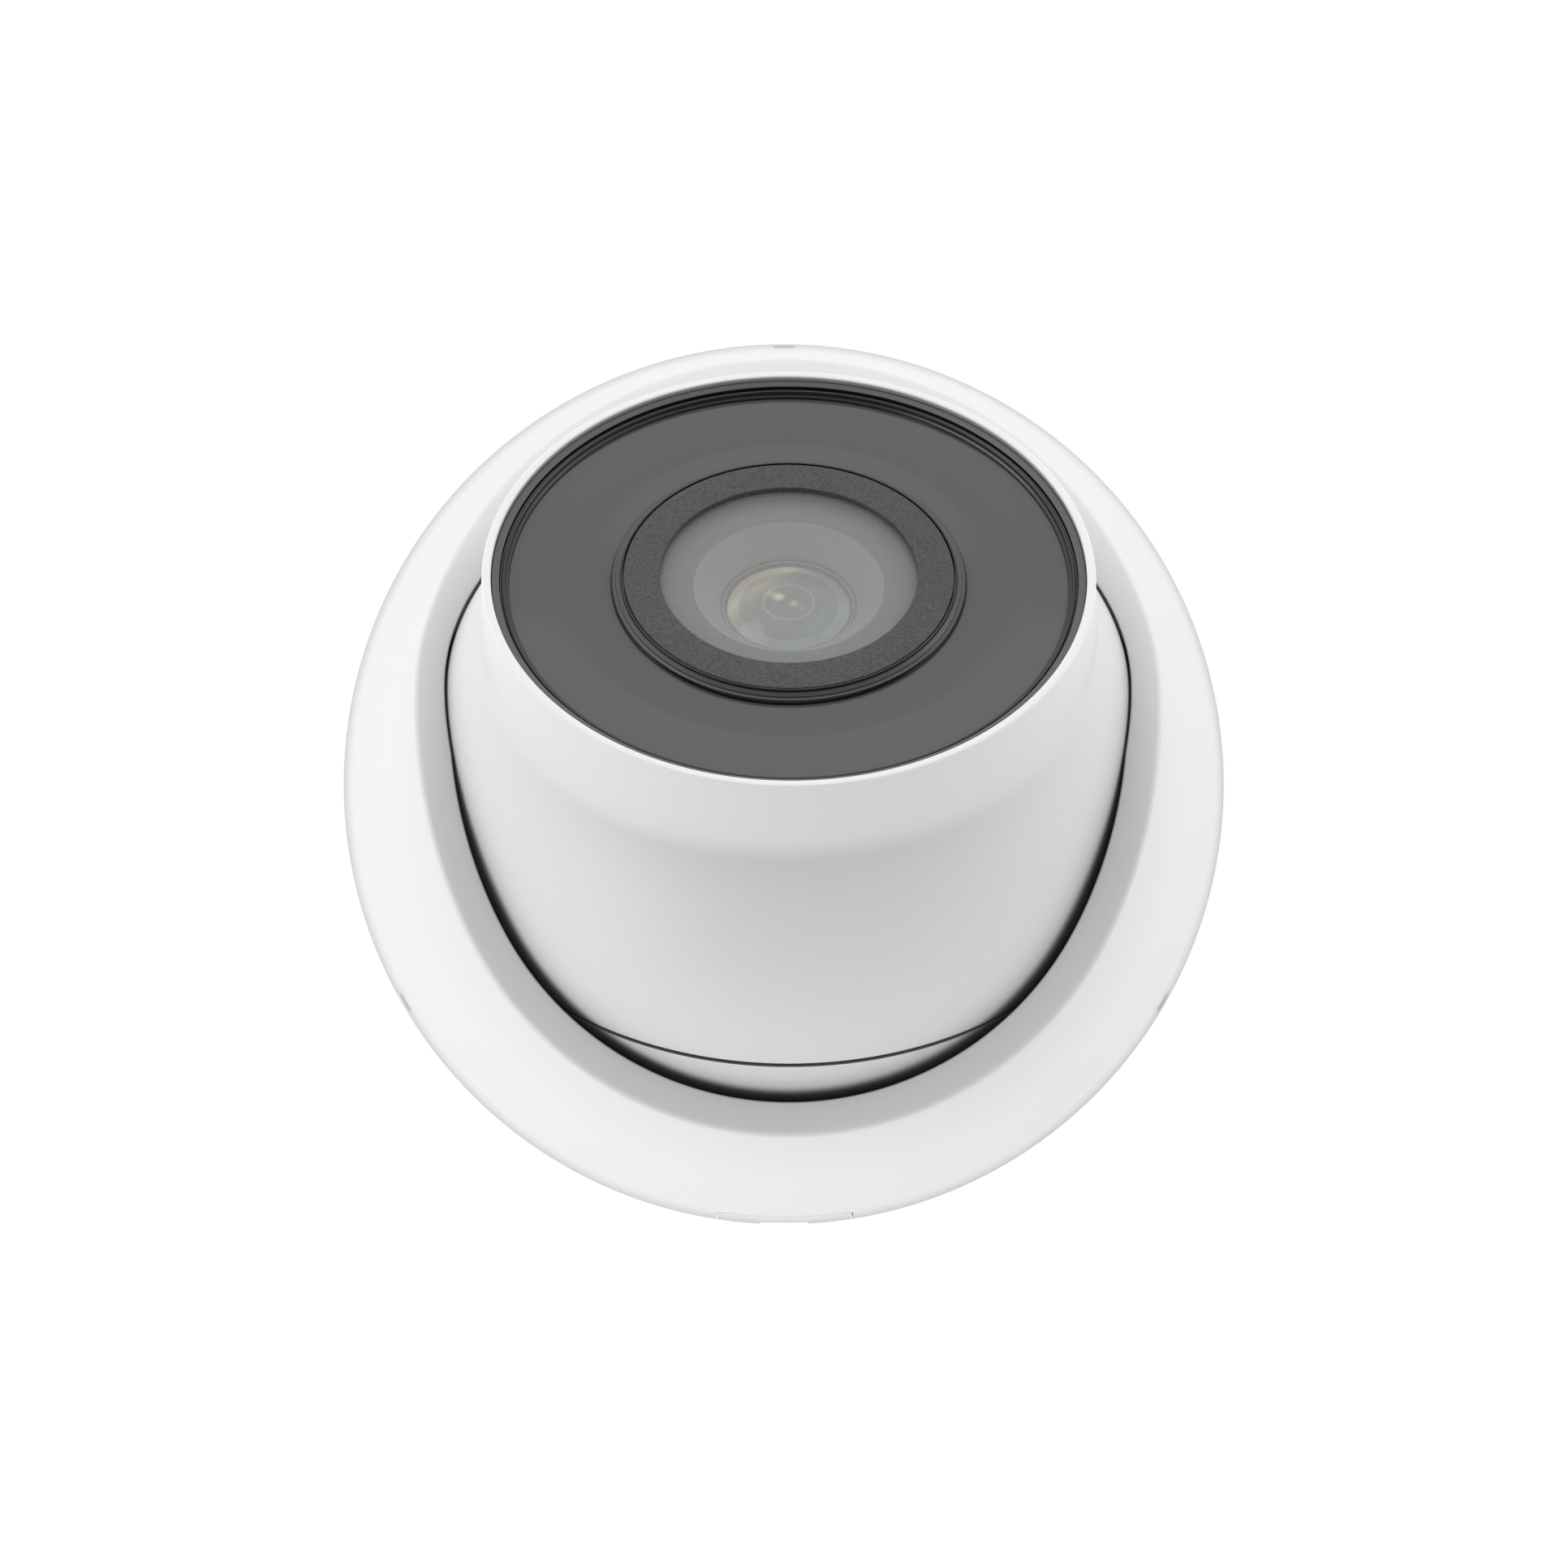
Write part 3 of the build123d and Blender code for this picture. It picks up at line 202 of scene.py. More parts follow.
def ramp(tree, source, stops):
    """A colour ramp with (place, value or colour) stops."""
    made = node(tree, "ShaderNodeValToRGB", {"Fac": source})
    stops_made = made.color_ramp.elements
    while len(stops_made) < len(stops):
        stops_made.new(0.5)
    for element, (place, shade) in zip(stops_made, stops):
        element.position = place
        element.color = (*shade, 1) if isinstance(shade, tuple) else (shade, shade, shade, 1)
    return made.outputs["Color"]


def studio_light():
    """A white tent: bright round the horizon, darker overhead where the lens looks in."""
    world = bpy.data.worlds.new("studio")
    scene.world = world
    world.use_nodes = True
    tree = world.node_tree
    tree.nodes.clear()
    direction = node(tree, "ShaderNodeTexCoord").outputs["Generated"]
    height = node(tree, "ShaderNodeSeparateXYZ", {0: direction}).outputs["Z"]
    sky = ramp(tree, height, ((0.0, 1.22), (0.30, 1.36), (0.50, 0.86), (0.75, 0.40), (1.0, 0.22)))
    turned_from = node(tree, "ShaderNodeVectorMath", {0: direction, 1: (-0.55, 0.80, 0.0)},
                       operation="DOT_PRODUCT").outputs["Value"]
    side = node(tree, "ShaderNodeMapRange", {0: turned_from, 1: -1.0, 2: 1.0, 3: 1.10, 4: 0.84}).outputs[0]
    light = node(tree, "ShaderNodeVectorMath", {0: sky, "Scale": side}, operation="SCALE").outputs[0]
    background = node(tree, "ShaderNodeBackground", {"Color": light, "Strength": 1.0})
    output = node(tree, "ShaderNodeOutputWorld")
    tree.links.new(background.outputs[0], output.inputs["Surface"])


def softbox(name, place, size, power):
    """A rectangular lamp aimed at the middle of the ball."""
    lamp = bpy.data.objects.new(name, bpy.data.lights.new(name, "AREA"))
    scene.collection.objects.link(lamp)
    lamp.data.shape = "RECTANGLE"
    lamp.data.size, lamp.data.size_y = size
    lamp.data.energy = power
    lamp.location = place
    lamp.rotation_euler = (ball_centre - Vector(place)).to_track_quat("-Z", "Y").to_euler()


studio_light()
softbox("left_box", (0.62, 0.42, 0.42), (0.45, 0.45), 0.80)
softbox("front_box", (0.30, -0.85, 0.38), (0.22, 0.30), 0.45)
softbox("right_box", (-0.60, -0.60, 0.26), (0.20, 0.28), 0.60)

# ------------------------------------------------------------------ shared effects


def effect_group(name, inputs, outputs):
    """A shader node group with named sockets."""
    group = bpy.data.node_groups.new(name, "ShaderNodeTree")
    for socket, kind, value in inputs:
        made = group.interface.new_socket(socket, in_out="INPUT", socket_type=kind)
        if value is not None:
            made.default_value = value
    for socket, kind in outputs:
        group.interface.new_socket(socket, in_out="OUTPUT", socket_type=kind)
    return group, node(group, "NodeGroupInput"), node(group, "NodeGroupOutput")


number, colour_kind, vector_kind = "NodeSocketFloat", "NodeSocketColor", "NodeSocketVector"


def make_surface_grain():
    """Fine moulded grain with slow changes of shade and gloss."""
    group, given, made = effect_group(
        "surface_grain",
        (("Color", colour_kind, (0.8, 0.8, 0.8, 1)), ("Grain Scale", number, 3000.0),
         ("Grain Depth", number, 0.00001), ("Mottle", number, 0.03), ("Roughness", number, 0.4),
         ("Spread", number, 0.06), ("Speckle", number, 0.0)),
        (("Color", colour_kind), ("Roughness", number), ("Normal", vector_kind)))
    place = object_place(group)
    grain = node(group, "ShaderNodeTexNoise", {"Vector": place, "Scale": given.outputs["Grain Scale"],
                                               "Detail": 3.0, "Roughness": 0.6}).outputs["Fac"]
    slow = node(group, "ShaderNodeTexNoise", {"Vector": place, "Scale": 45.0, "Detail": 2.0}).outputs["Fac"]
    swing = math_node(group, "SUBTRACT", slow, 0.5)
    drift = math_node(group, "MULTIPLY_ADD", swing, given.outputs["Mottle"], 1.0)
    fleck = math_node(group, "SUBTRACT", grain, 0.5)
    shade = math_node(group, "MULTIPLY_ADD", fleck, given.outputs["Speckle"], drift)
    colour = node(group, "ShaderNodeVectorMath", {0: given.outputs["Color"], "Scale": shade},
                  operation="SCALE")
    bump = node(group, "ShaderNodeBump", {"Height": grain, "Distance": given.outputs["Grain Depth"],
                                          "Strength": 1.0})
    gloss = math_node(group, "MULTIPLY_ADD", swing, given.outputs["Spread"], given.outputs["Roughness"])
    group.links.new(colour.outputs[0], made.inputs["Color"])
    group.links.new(gloss, made.inputs["Roughness"])
    group.links.new(bump.outputs[0], made.inputs["Normal"])
    return group


def make_fine_dust():
    """A few fine specks of dust that dull a gloss surface."""
    group, given, made = effect_group(
        "fine_dust",
        (("Color", colour_kind, (0.02, 0.02, 0.02, 1)), ("Roughness", number, 0.1),
         ("Amount", number, 0.5)),
        (("Color", colour_kind), ("Roughness", number)))
    place = object_place(group)
    specks = node(group, "ShaderNodeTexVoronoi", {"Vector": place, "Scale": 1400.0, "Randomness": 1.0})
    cloud = node(group, "ShaderNodeTexNoise", {"Vector": place, "Scale": 220.0, "Detail": 3.0})
    near = node(group, "ShaderNodeMapRange", {0: specks.outputs["Distance"], 1: 0.05, 2: 0.11,
                                              3: 1.0, 4: 0.0}).outputs[0]
    patch = node(group, "ShaderNodeMapRange", {0: cloud.outputs["Fac"], 1: 0.56, 2: 0.75,
                                               3: 0.0, 4: 1.0}).outputs[0]
    mask = math_node(group, "MULTIPLY", math_node(group, "MULTIPLY", near, patch), given.outputs["Amount"])
    colour = colour_mix(group, mask, given.outputs["Color"], (0.42, 0.41, 0.38, 1))
    gloss = math_node(group, "MULTIPLY_ADD", mask, 0.6, given.outputs["Roughness"])
    group.links.new(colour, made.inputs["Color"])
    group.links.new(gloss, made.inputs["Roughness"])
    return group


def make_machined_lines():
    """Fine turning or rolling lines in metal."""
    group, given, made = effect_group(
        "machined_lines",
        (("Stretch", vector_kind, (1.0, 1.0, 1.0)), ("Line Scale", number, 2500.0),
         ("Depth", number, 0.000004), ("Roughness", number, 0.3)),
        (("Roughness", number), ("Normal", vector_kind)))
    drawn = node(group, "ShaderNodeVectorMath", {0: object_place(group), 1: given.outputs["Stretch"]},
                 operation="MULTIPLY").outputs[0]
    lines = node(group, "ShaderNodeTexNoise", {"Vector": drawn, "Scale": given.outputs["Line Scale"],
                                               "Detail": 3.0}).outputs["Fac"]
    bump = node(group, "ShaderNodeBump", {"Height": lines, "Distance": given.outputs["Depth"],
                                          "Strength": 1.0})
    gloss = math_node(group, "MULTIPLY_ADD", lines, 0.2, given.outputs["Roughness"])
    group.links.new(gloss, made.inputs["Roughness"])
    group.links.new(bump.outputs[0], made.inputs["Normal"])
    return group


surface_grain = make_surface_grain()
fine_dust = make_fine_dust()
machined_lines = make_machined_lines()


def new_material(name, roughness=0.4, **sockets):
    """A Principled material with its own uniform values set on the shader."""
    material = bpy.data.materials.new(name)
    material.use_nodes = True
    shader = material.node_tree.nodes["Principled BSDF"]
    shader.inputs["Roughness"].default_value = roughness
    for socket, value in sockets.items():
        shader.inputs[socket.replace("_", " ")].default_value = value
    return material, material.node_tree, shader


def grained(name, colour, roughness, scale=3000.0, depth=0.00001, mottle=0.03, spread=0.06, speckle=0.0,
            dust=0.0, crevice=0.0, **sockets):
    """Moulded plastic, rubber or paint with grain, dust where it is glossy, and shade in its crevices."""
    material, tree, shader = new_material(name, roughness, **sockets)
    shader.inputs["Base Color"].default_value = (*colour, 1)
    grain = node(tree, "ShaderNodeGroup", node_tree=surface_grain)
    for socket, value in (("Color", (*colour, 1)), ("Grain Scale", scale), ("Grain Depth", depth),
                          ("Mottle", mottle), ("Roughness", roughness), ("Spread", spread),
                          ("Speckle", speckle)):
        grain.inputs[socket].default_value = value
    shown, gloss = grain.outputs["Color"], grain.outputs["Roughness"]
    if dust:
        dusty = node(tree, "ShaderNodeGroup", node_tree=fine_dust)
        dusty.inputs["Amount"].default_value = dust
        tree.links.new(shown, dusty.inputs["Color"])
        tree.links.new(gloss, dusty.inputs["Roughness"])
        shown, gloss = dusty.outputs["Color"], dusty.outputs["Roughness"]
    if crevice:
        # Painted shade: the colour is darkened where ambient occlusion finds other surfaces close by, in crevices
        # and next to the lip.
        open_air = node(tree, "ShaderNodeAmbientOcclusion", {"Distance": crevice}, samples=12).outputs["AO"]
        shade = node(tree, "ShaderNodeMapRange", {0: open_air, 1: 0.25, 2: 0.97, 3: 0.22, 4: 1.0}).outputs[0]
        shown = node(tree, "ShaderNodeVectorMath", {0: shown, "Scale": shade}, operation="SCALE").outputs[0]
    tree.links.new(shown, shader.inputs["Base Color"])
    tree.links.new(gloss, shader.inputs["Roughness"])
    tree.links.new(grain.outputs["Normal"], shader.inputs["Normal"])
    return material


def metal(name, colour, roughness, stretch, scale=2500.0, depth=0.000004):
    """Bare metal with fine lines."""
    material, tree, shader = new_material(name, roughness, Metallic=1.0)
    shader.inputs["Base Color"].default_value = (*colour, 1)
    lines = node(tree, "ShaderNodeGroup", node_tree=machined_lines)
    lines.inputs["Stretch"].default_value = stretch
    lines.inputs["Line Scale"].default_value = scale
    lines.inputs["Depth"].default_value = depth
    lines.inputs["Roughness"].default_value = roughness
    tree.links.new(lines.outputs["Roughness"], shader.inputs["Roughness"])
    tree.links.new(lines.outputs["Normal"], shader.inputs["Normal"])
    return material


def circuit_board(name):
    """Green solder mask over copper tracks, with rows of bright pads."""
    material, tree, shader = new_material(name, 0.3)
    place = object_place(tree)
    tracks = node(tree, "ShaderNodeTexVoronoi", {"Vector": place, "Scale": 420.0},
                  distance="MANHATTAN", feature="F1").outputs["Distance"]
    between = math_node(tree, "PINGPONG", tracks, 0.12)
    line = node(tree, "ShaderNodeMapRange", {0: between, 1: 0.04, 2: 0.06}).outputs[0]
    pads = node(tree, "ShaderNodeTexVoronoi", {"Vector": place, "Scale": 300.0, "Randomness": 0.15},
                distance="CHEBYCHEV").outputs["Distance"]
    pad = node(tree, "ShaderNodeMapRange", {0: pads, 1: 0.12, 2: 0.14, 3: 1.0, 4: 0.0}).outputs[0]
    mask = ramp(tree, line, ((0.0, (0.006, 0.085, 0.03)), (1.0, (0.012, 0.15, 0.055))))
    shown = colour_mix(tree, pad, mask, (0.75, 0.62, 0.36, 1))
    tree.links.new(shown, shader.inputs["Base Color"])
    bump = node(tree, "ShaderNodeBump", {"Height": line, "Distance": 0.00003, "Strength": 1.0})
    tree.links.new(bump.outputs[0], shader.inputs["Normal"])
    return material


def bag_weave(name):
    """Non-woven paper with pressed dots."""
    material, tree, shader = new_material(name, 0.8)
    place = object_place(tree)
    fibres = node(tree, "ShaderNodeTexNoise", {"Vector": place, "Scale": 900.0, "Detail": 5.0,
                                               "Roughness": 0.75})
    dots = node(tree, "ShaderNodeTexVoronoi", {"Vector": place, "Scale": 800.0, "Randomness": 0.1})
    shade = ramp(tree, fibres.outputs["Fac"], ((0.3, (0.70, 0.69, 0.65)), (0.7, (0.84, 0.83, 0.79))))
    tree.links.new(shade, shader.inputs["Base Color"])
    height = math_node(tree, "MULTIPLY_ADD", dots.outputs["Distance"], 0.7, fibres.outputs["Fac"])
    bump = node(tree, "ShaderNodeBump", {"Height": height, "Distance": 0.00008, "Strength": 1.0})
    tree.links.new(bump.outputs[0], shader.inputs["Normal"])
    return material


def clear_pane(name, colour, alpha, smear, **sockets):
    """Thin glass whose faint haze and smears show over what lies behind it."""
    material, tree, shader = new_material(name, 0.03, **sockets)
    haze = node(tree, "ShaderNodeTexNoise", {"Vector": object_place(tree), "Scale": 90.0, "Detail": 4.0})
    thick = node(tree, "ShaderNodeMapRange", {0: haze.outputs["Fac"], 3: alpha - smear, 4: alpha + smear})
    shader.inputs["Base Color"].default_value = (*colour, 1)
    tree.links.new(thick.outputs[0], shader.inputs["Alpha"])
    return material


def coated_lens_painted_reflections(name, alpha):
    """Coated element: grey zones and thin rings, with painted reflection warm on one side and green on the other,
    and two painted glints.
    """
    material, tree, shader = new_material(name, 0.05, IOR=1.6, Coat_Weight=0.4, Coat_Roughness=0.03)
    from_axis = node(tree, "ShaderNodeVectorMath", {0: object_place(tree), 1: tuple(ball_centre)},
                     operation="SUBTRACT").outputs[0]
    sides = [node(tree, "ShaderNodeVectorMath", {0: from_axis, 1: tuple(way / mm)},
                  operation="DOT_PRODUCT").outputs["Value"] for way in (across, upward)]
    flat = node(tree, "ShaderNodeCombineXYZ", {"X": sides[0], "Y": sides[1]}).outputs[0]
    reach = node(tree, "ShaderNodeVectorMath", {0: flat}, operation="LENGTH").outputs["Value"]
    # Grey zones and thin rings of the lens itself; the bright thin rings are painted highlight on them.
    zones = ramp(tree, math_node(tree, "DIVIDE", reach, dome_radius), (
        (0.0, 0.17), (0.34, 0.18), (0.385, 0.22), (0.41, 0.50), (0.43, 0.20), (0.60, 0.21), (0.62, 0.27),
        (0.64, 0.21), (0.78, 0.22), (0.82, 0.36), (0.96, 0.38), (1.0, 0.06)))
    # Painted reflection: the colour is warmed and brightened towards one side of the lens and turned green towards
    # the other.
    diagonal = math_node(tree, "SUBTRACT", sides[0], sides[1])
    run = node(tree, "ShaderNodeMapRange", {0: diagonal, 1: -8.5, 2: 8.5}).outputs[0]
    painted_reflection_tint = ramp(tree, run, (
        (0.0, (0.95, 1.15, 0.98)), (0.12, (0.92, 1.42, 1.02)), (0.28, (1.0, 1.0, 1.0)),
        (0.66, (1.0, 1.0, 1.0)), (0.76, (1.25, 1.62, 1.0)), (0.86, (2.6, 2.6, 1.75)),
        (1.0, (2.4, 1.75, 1.35))))
    shown = node(tree, "ShaderNodeVectorMath", {0: zones, 1: painted_reflection_tint}, operation="MULTIPLY").outputs[0]
    # Painted glints: small spots of colour added to the base colour.
    for spot, size, glint_colour in (((1.10, -0.75, 0), 1.0, (1.30, 1.20, 0.55)),
                             ((2.0, -1.4, 0), 1.0, (0.20, 0.40, 0.12)),
                             ((-0.55, 0.35, 0), 0.75, (1.00, 0.55, 0.22)),
                             ((-1.5, 1.0, 0), 0.9, (0.04, 0.20, 0.16))):
        away = node(tree, "ShaderNodeVectorMath", {0: flat, 1: spot}, operation="DISTANCE").outputs["Value"]
        near = node(tree, "ShaderNodeMapRange", {0: away, 1: 0.0, 2: size, 3: 1.0, 4: 0.0},
                    interpolation_type="SMOOTHSTEP").outputs[0]
        glint = node(tree, "ShaderNodeVectorMath", {0: glint_colour, "Scale": near}, operation="SCALE").outputs[0]
        shown = node(tree, "ShaderNodeVectorMath", {0: shown, 1: glint}, operation="ADD").outputs[0]
    tree.links.new(shown, shader.inputs["Base Color"])
    shader.inputs["Alpha"].default_value = alpha
    return material


finishes = {
    "white_shell": grained("shell_white", (0.850, 0.850, 0.853), 0.42, scale=2600.0, depth=0.000010,
                           mottle=0.012, spread=0.05, crevice=0.014),
    "white_base": grained("base_white", (0.80, 0.80, 0.79), 0.55, scale=1800.0, depth=0.00002, mottle=0.03),
    "black_seal": grained("seal_rubber", (0.022, 0.022, 0.022), 0.75, scale=2200.0, depth=0.00002,
                          mottle=0.2),
    "friction_pad": grained("friction_felt", (0.17, 0.17, 0.18), 0.9, scale=1500.0, depth=0.00006,
                            mottle=0.2, speckle=0.5),
    "slip_washer": grained("natural_acetal", (0.70, 0.69, 0.63), 0.35, depth=0.000006),
    "steel_screw": metal("zinc_screw", (0.62, 0.62, 0.60), 0.25, (1.0, 1.0, 0.2)),
    "bezel_black": grained("bezel_black", (0.012, 0.012, 0.012), 0.16, depth=0.000003, spread=0.05,
                           dust=0.35),
    "smoked_window": grained("smoked_acrylic", (0.095, 0.091, 0.084), 0.06, scale=900.0, depth=0.0000004,
                             mottle=0.04, spread=0.03, dust=0.15),
    "collar_gloss": grained("collar_gloss", (0.008, 0.008, 0.008), 0.10, depth=0.000002, spread=0.04,
                            dust=0.25),
    "trap_matte": grained("trap_matte", (0.090, 0.090, 0.090), 0.88, scale=3000.0, depth=0.00005,
                          mottle=0.25, speckle=1.6),
    "clear_glass": clear_pane("cover_glass", (0.62, 0.62, 0.62), 0.25, 0.01, IOR=1.45),
    "coated_glass": coated_lens_painted_reflections("coated_glass", 0.85),
    "lens_black": grained("anodised_black", (0.045, 0.045, 0.045), 0.45, scale=3200.0, depth=0.000006),
    "plate_aluminium": metal("rolled_aluminium", (0.80, 0.80, 0.81), 0.35, (0.05, 1.0, 1.0)),
    "board_green": circuit_board("circuit_board"),
    "chip_black": grained("chip_black", (0.03, 0.03, 0.032), 0.6, scale=2600.0, depth=0.00001, mottle=0.15),
    "magnet_steel": metal("nickel_magnet", (0.72, 0.70, 0.66), 0.12, (1.0, 1.0, 1.0), depth=0.000001),
    "lamp_clear": grained("lamp_epoxy", (0.62, 0.60, 0.52), 0.12, depth=0.000002, Transmission_Weight=0.4),
    "ribbon_film": grained("amber_film", (0.46, 0.22, 0.035), 0.3, scale=1200.0, depth=0.000004, mottle=0.1),
    "bag_paper": bag_weave("sachet_paper"),
}
# Painted reflection: the flat top lands of the black bezel and collar are painted grey for the light they reflect.
bezel_painted_reflection = grained("bezel_land_painted_reflection", (0.095, 0.095, 0.097), 0.30, scale=3600.0, depth=0.000005,
                     mottle=0.05, dust=0.2)
collar_painted_reflection = grained("collar_land_painted_reflection", (0.060, 0.060, 0.061), 0.30, scale=3600.0, depth=0.000005,
                      mottle=0.05, dust=0.2)
hood_grey = grained("hood_flock", (0.26, 0.26, 0.26), 0.95, scale=3000.0, depth=0.000004,
                    mottle=0.05, speckle=0.25)
hood_dark = grained("hood_face", (0.060, 0.060, 0.060), 0.9, scale=3000.0, depth=0.00003,
                    mottle=0.05, speckle=0.5)
lug_white = grained("lug_white", (0.835, 0.835, 0.838), 0.42, scale=2600.0, depth=0.000010,
                    mottle=0.012, spread=0.05)
# Painted highlight: the snout's front rim is the shell's white, painted brighter.
rim_painted_highlight = grained("rim_white_painted_highlight", (0.98, 0.98, 0.98), 0.28, scale=2600.0, depth=0.000008,
                     mottle=0.01, spread=0.04)

for entry in frame["record"]["subparts"]:
    mesh = frame["nodes"][entry["node"]].data
    mesh.materials.clear()
    mesh.materials.append(finishes[entry["material_slot"]])

# ------------------------------------------------------------------ making pieces


def put(bm, name, body, materials, stands_for=(), smooth=35.0, place=base_place):
    """Turns a mesh being built into a piece of the object, riding on a body."""
    bmesh.ops.scale(bm, vec=(mm, mm, mm), verts=bm.verts)
    bmesh.ops.transform(bm, matrix=place, verts=bm.verts)
    mesh = bpy.data.meshes.new(name)
    for face in bm.faces:
        face.smooth = True
    bm.to_mesh(mesh)
    bm.free()
    mesh.set_sharp_from_angle(angle=math.radians(smooth))
    for material in materials:
        mesh.materials.append(material)
    piece = bpy.data.objects.new(name, mesh)
    scene.collection.objects.link(piece)
    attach(piece, body)
    if stands_for:
        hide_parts(*stands_for)
    return piece


def section(points):
    """A half section whose third number at a corner is the radius that rounds it."""
    bm = bmesh.new()
    corners = [bm.verts.new((point[0], 0, point[1])) for point in points]
    bm.faces.new(corners)
    for corner, point in list(zip(corners, points)):
        if len(point) > 2:
            bmesh.ops.bevel(bm, geom=[corner], offset=point[2], offset_type="OFFSET", segments=6, profile=0.5,
                            affect="VERTICES", clamp_overlap=True, material=-1)
    bmesh.ops.delete(bm, geom=list(bm.faces), context="FACES_ONLY")
    return bm


def spun(bm, steps=160):
    """Spins the section once round its axis into a closed shell."""
    on_axis = [edge for edge in bm.edges if all(abs(vert.co.x) < 1e-6 for vert in edge.verts)]
    bmesh.ops.delete(bm, geom=on_axis, context="EDGES")
    bmesh.ops.spin(bm, geom=bm.verts[:] + bm.edges[:], cent=(0, 0, 0), axis=(0, 0, 1), dvec=(0, 0, 0),
                   angle=2 * math.pi, steps=steps, use_merge=True, use_duplicate=False)
    bmesh.ops.remove_doubles(bm, verts=bm.verts, dist=1e-5)
    bmesh.ops.recalc_face_normals(bm, faces=bm.faces)
    return bm


def arc(radius, start, end, count):
    """Points on a circle about the origin of the section, angles in degrees from the axis."""
    turns = [math.radians(start + (end - start) * i / count) for i in range(count + 1)]
    return [(radius * math.sin(turn), radius * math.cos(turn)) for turn in turns]


def lens_turned(name, points, materials, stands_for=(), steps=160, smooth=35.0, second=None):
    """A turned piece about the lens axis, riding on the ball."""
    bm = spun(section(points), steps)
    if second:
        low, high, least = second
        for face in bm.faces:
            middle = face.calc_center_median()
            reach = math.hypot(middle.x, middle.y)
            face.material_index = 1 if low < reach < high and middle.z > least else 0
    return put(bm, name, "ball", materials, stands_for, smooth, lens_place)


# ------------------------------------------------------------------ ball and snout

inner_radius = ball_radius - ball_wall


def snout_width(distance):
    return snout_radius + snout_taper * (1 - distance / snout_reach)


def crease_points(count=14):
    """The hollow that blends the ball into the snout: a round of set radius touching both."""
    lean = math.atan2(snout_taper, snout_reach)
    away = ball_radius + crease_round
    low, high = 10.0, 30.0
    for _ in range(60):
        middle = (low + high) / 2
        beyond = (math.sqrt(away ** 2 - middle ** 2) - snout_width(middle)) * math.cos(lean)
        low, high = (middle, high) if beyond > crease_round else (low, middle)
    centre = Vector((math.sqrt(away ** 2 - middle ** 2), middle))
    start = math.atan2(-centre.y, -centre.x)
    end = math.pi + lean
    start += 2 * math.pi if start < 0 else 0
    return [(centre.x + crease_round * math.cos(start + (end - start) * i / count),
             centre.y + crease_round * math.sin(start + (end - start) * i / count)) for i in range(count + 1)]


crease = crease_points()
crease_angle = math.degrees(math.atan2(crease[0][0], crease[0][1]))
front_angle = math.degrees(math.acos(front_edge / ball_radius))
inner_front = math.degrees(math.acos(front_edge / inner_radius))
inner_ledge = math.degrees(math.acos(ledge_back / inner_radius))

outer_front = arc(ball_radius, front_angle, crease_angle, 26)
outer_front[0] = (*outer_front[0], shell_edge_round)
inner_shell = arc(inner_radius, inner_ledge, inner_front, 20)
front_section = outer_front + crease[1:] + [
    (snout_radius, snout_reach, 0.28), (bore_radius, snout_reach, 0.2), (bore_radius, ledge_face),
    (ledge_radius, ledge_face), (ledge_radius, ledge_back)] + inner_shell
# The snout's front rim faces take the painted highlight white.
lens_turned("front_shell", front_section, [finishes["white_shell"], rim_painted_highlight],
            ["front_housing"], steps=192, smooth=50.0, second=(bore_radius - 1.0, snout_radius + 0.2,
                                                               snout_reach - 0.2))

lens_turned("housing_seam", [
    (seal_outer, rear_edge), (seal_outer, front_edge), (seal_inner, front_edge), (seal_inner, rear_edge)],
    [finishes["black_seal"]], ["housing_seal"], steps=192)

# ------------------------------------------------------------------ window, its frame and the collar

window_hole = collar_neck + 0.1
lens_turned("smoked_window_disc", [
    (window_hole, window_back), (window_edge, window_back), (window_edge, window_face, 0.15),
    (window_hole, window_face, 0.1)],
    [finishes["smoked_window"]], ["ir_window"], steps=192)

bezel_outer = bore_radius - 0.05
bezel_top = 32.62
bezel_foot = window_face + 0.01
bezel_bore = window_edge + 0.02
lens_turned("stepped_bezel", [
    (bezel_outer, window_back), (bezel_outer, bezel_top, 0.08), (32.78, bezel_top, 0.06),
    (32.10, 32.46, 0.05), (32.06, 31.98, 0.05), (31.84, 31.92, 0.05), (31.80, 32.20, 0.10),
    (31.48, 32.14, 0.12), (31.40, 31.75, 0.05), (31.10, 31.66, 0.08), (31.02, bezel_foot),
    (bezel_bore, bezel_foot), (bezel_bore, window_back)],
    [finishes["bezel_black"], bezel_painted_reflection], ["window_bezel"], steps=192, smooth=28.0,
    second=(32.05, 32.9, 32.40))

collar_seat = 15.80
collar_bore = 14.42
seat_floor = 30.78
collar_top = 31.98
lens_turned("stepped_collar", [
    (collar_neck, collar_back), (collar_neck, window_face), (collar_radius, 31.42), (19.76, 31.52, 0.04),
    (19.60, 31.90, 0.06), (19.24, 31.95, 0.04), (19.20, 32.12, 0.04), (18.72, 32.30, 0.06),
    (18.66, 32.58, 0.05), (18.46, 32.60, 0.04), (18.42, collar_top), (collar_seat, collar_top),
    (collar_seat, seat_floor), (collar_bore, seat_floor), (collar_bore, collar_back)],
    [finishes["collar_gloss"], collar_painted_reflection], ["lens_collar"], steps=192, smooth=28.0,
    second=(18.75, 19.55, 31.8))

lens_turned("matte_trap_ring", [
    (trap_inner, trap_back), (trap_outer, trap_back), (trap_outer, 32.56, 0.10), (trap_inner, 32.60, 0.12)],
    [finishes["trap_matte"]], ["light_trap"], steps=192)

lens_turned("front_glass", [
    (0, glass_back), (glass_radius, glass_back, 0.08), (glass_radius, glass_face, 0.10), (0, glass_face)],
    [finishes["clear_glass"]], ["cover_glass"], steps=160)

# ------------------------------------------------------------------ hood and lens

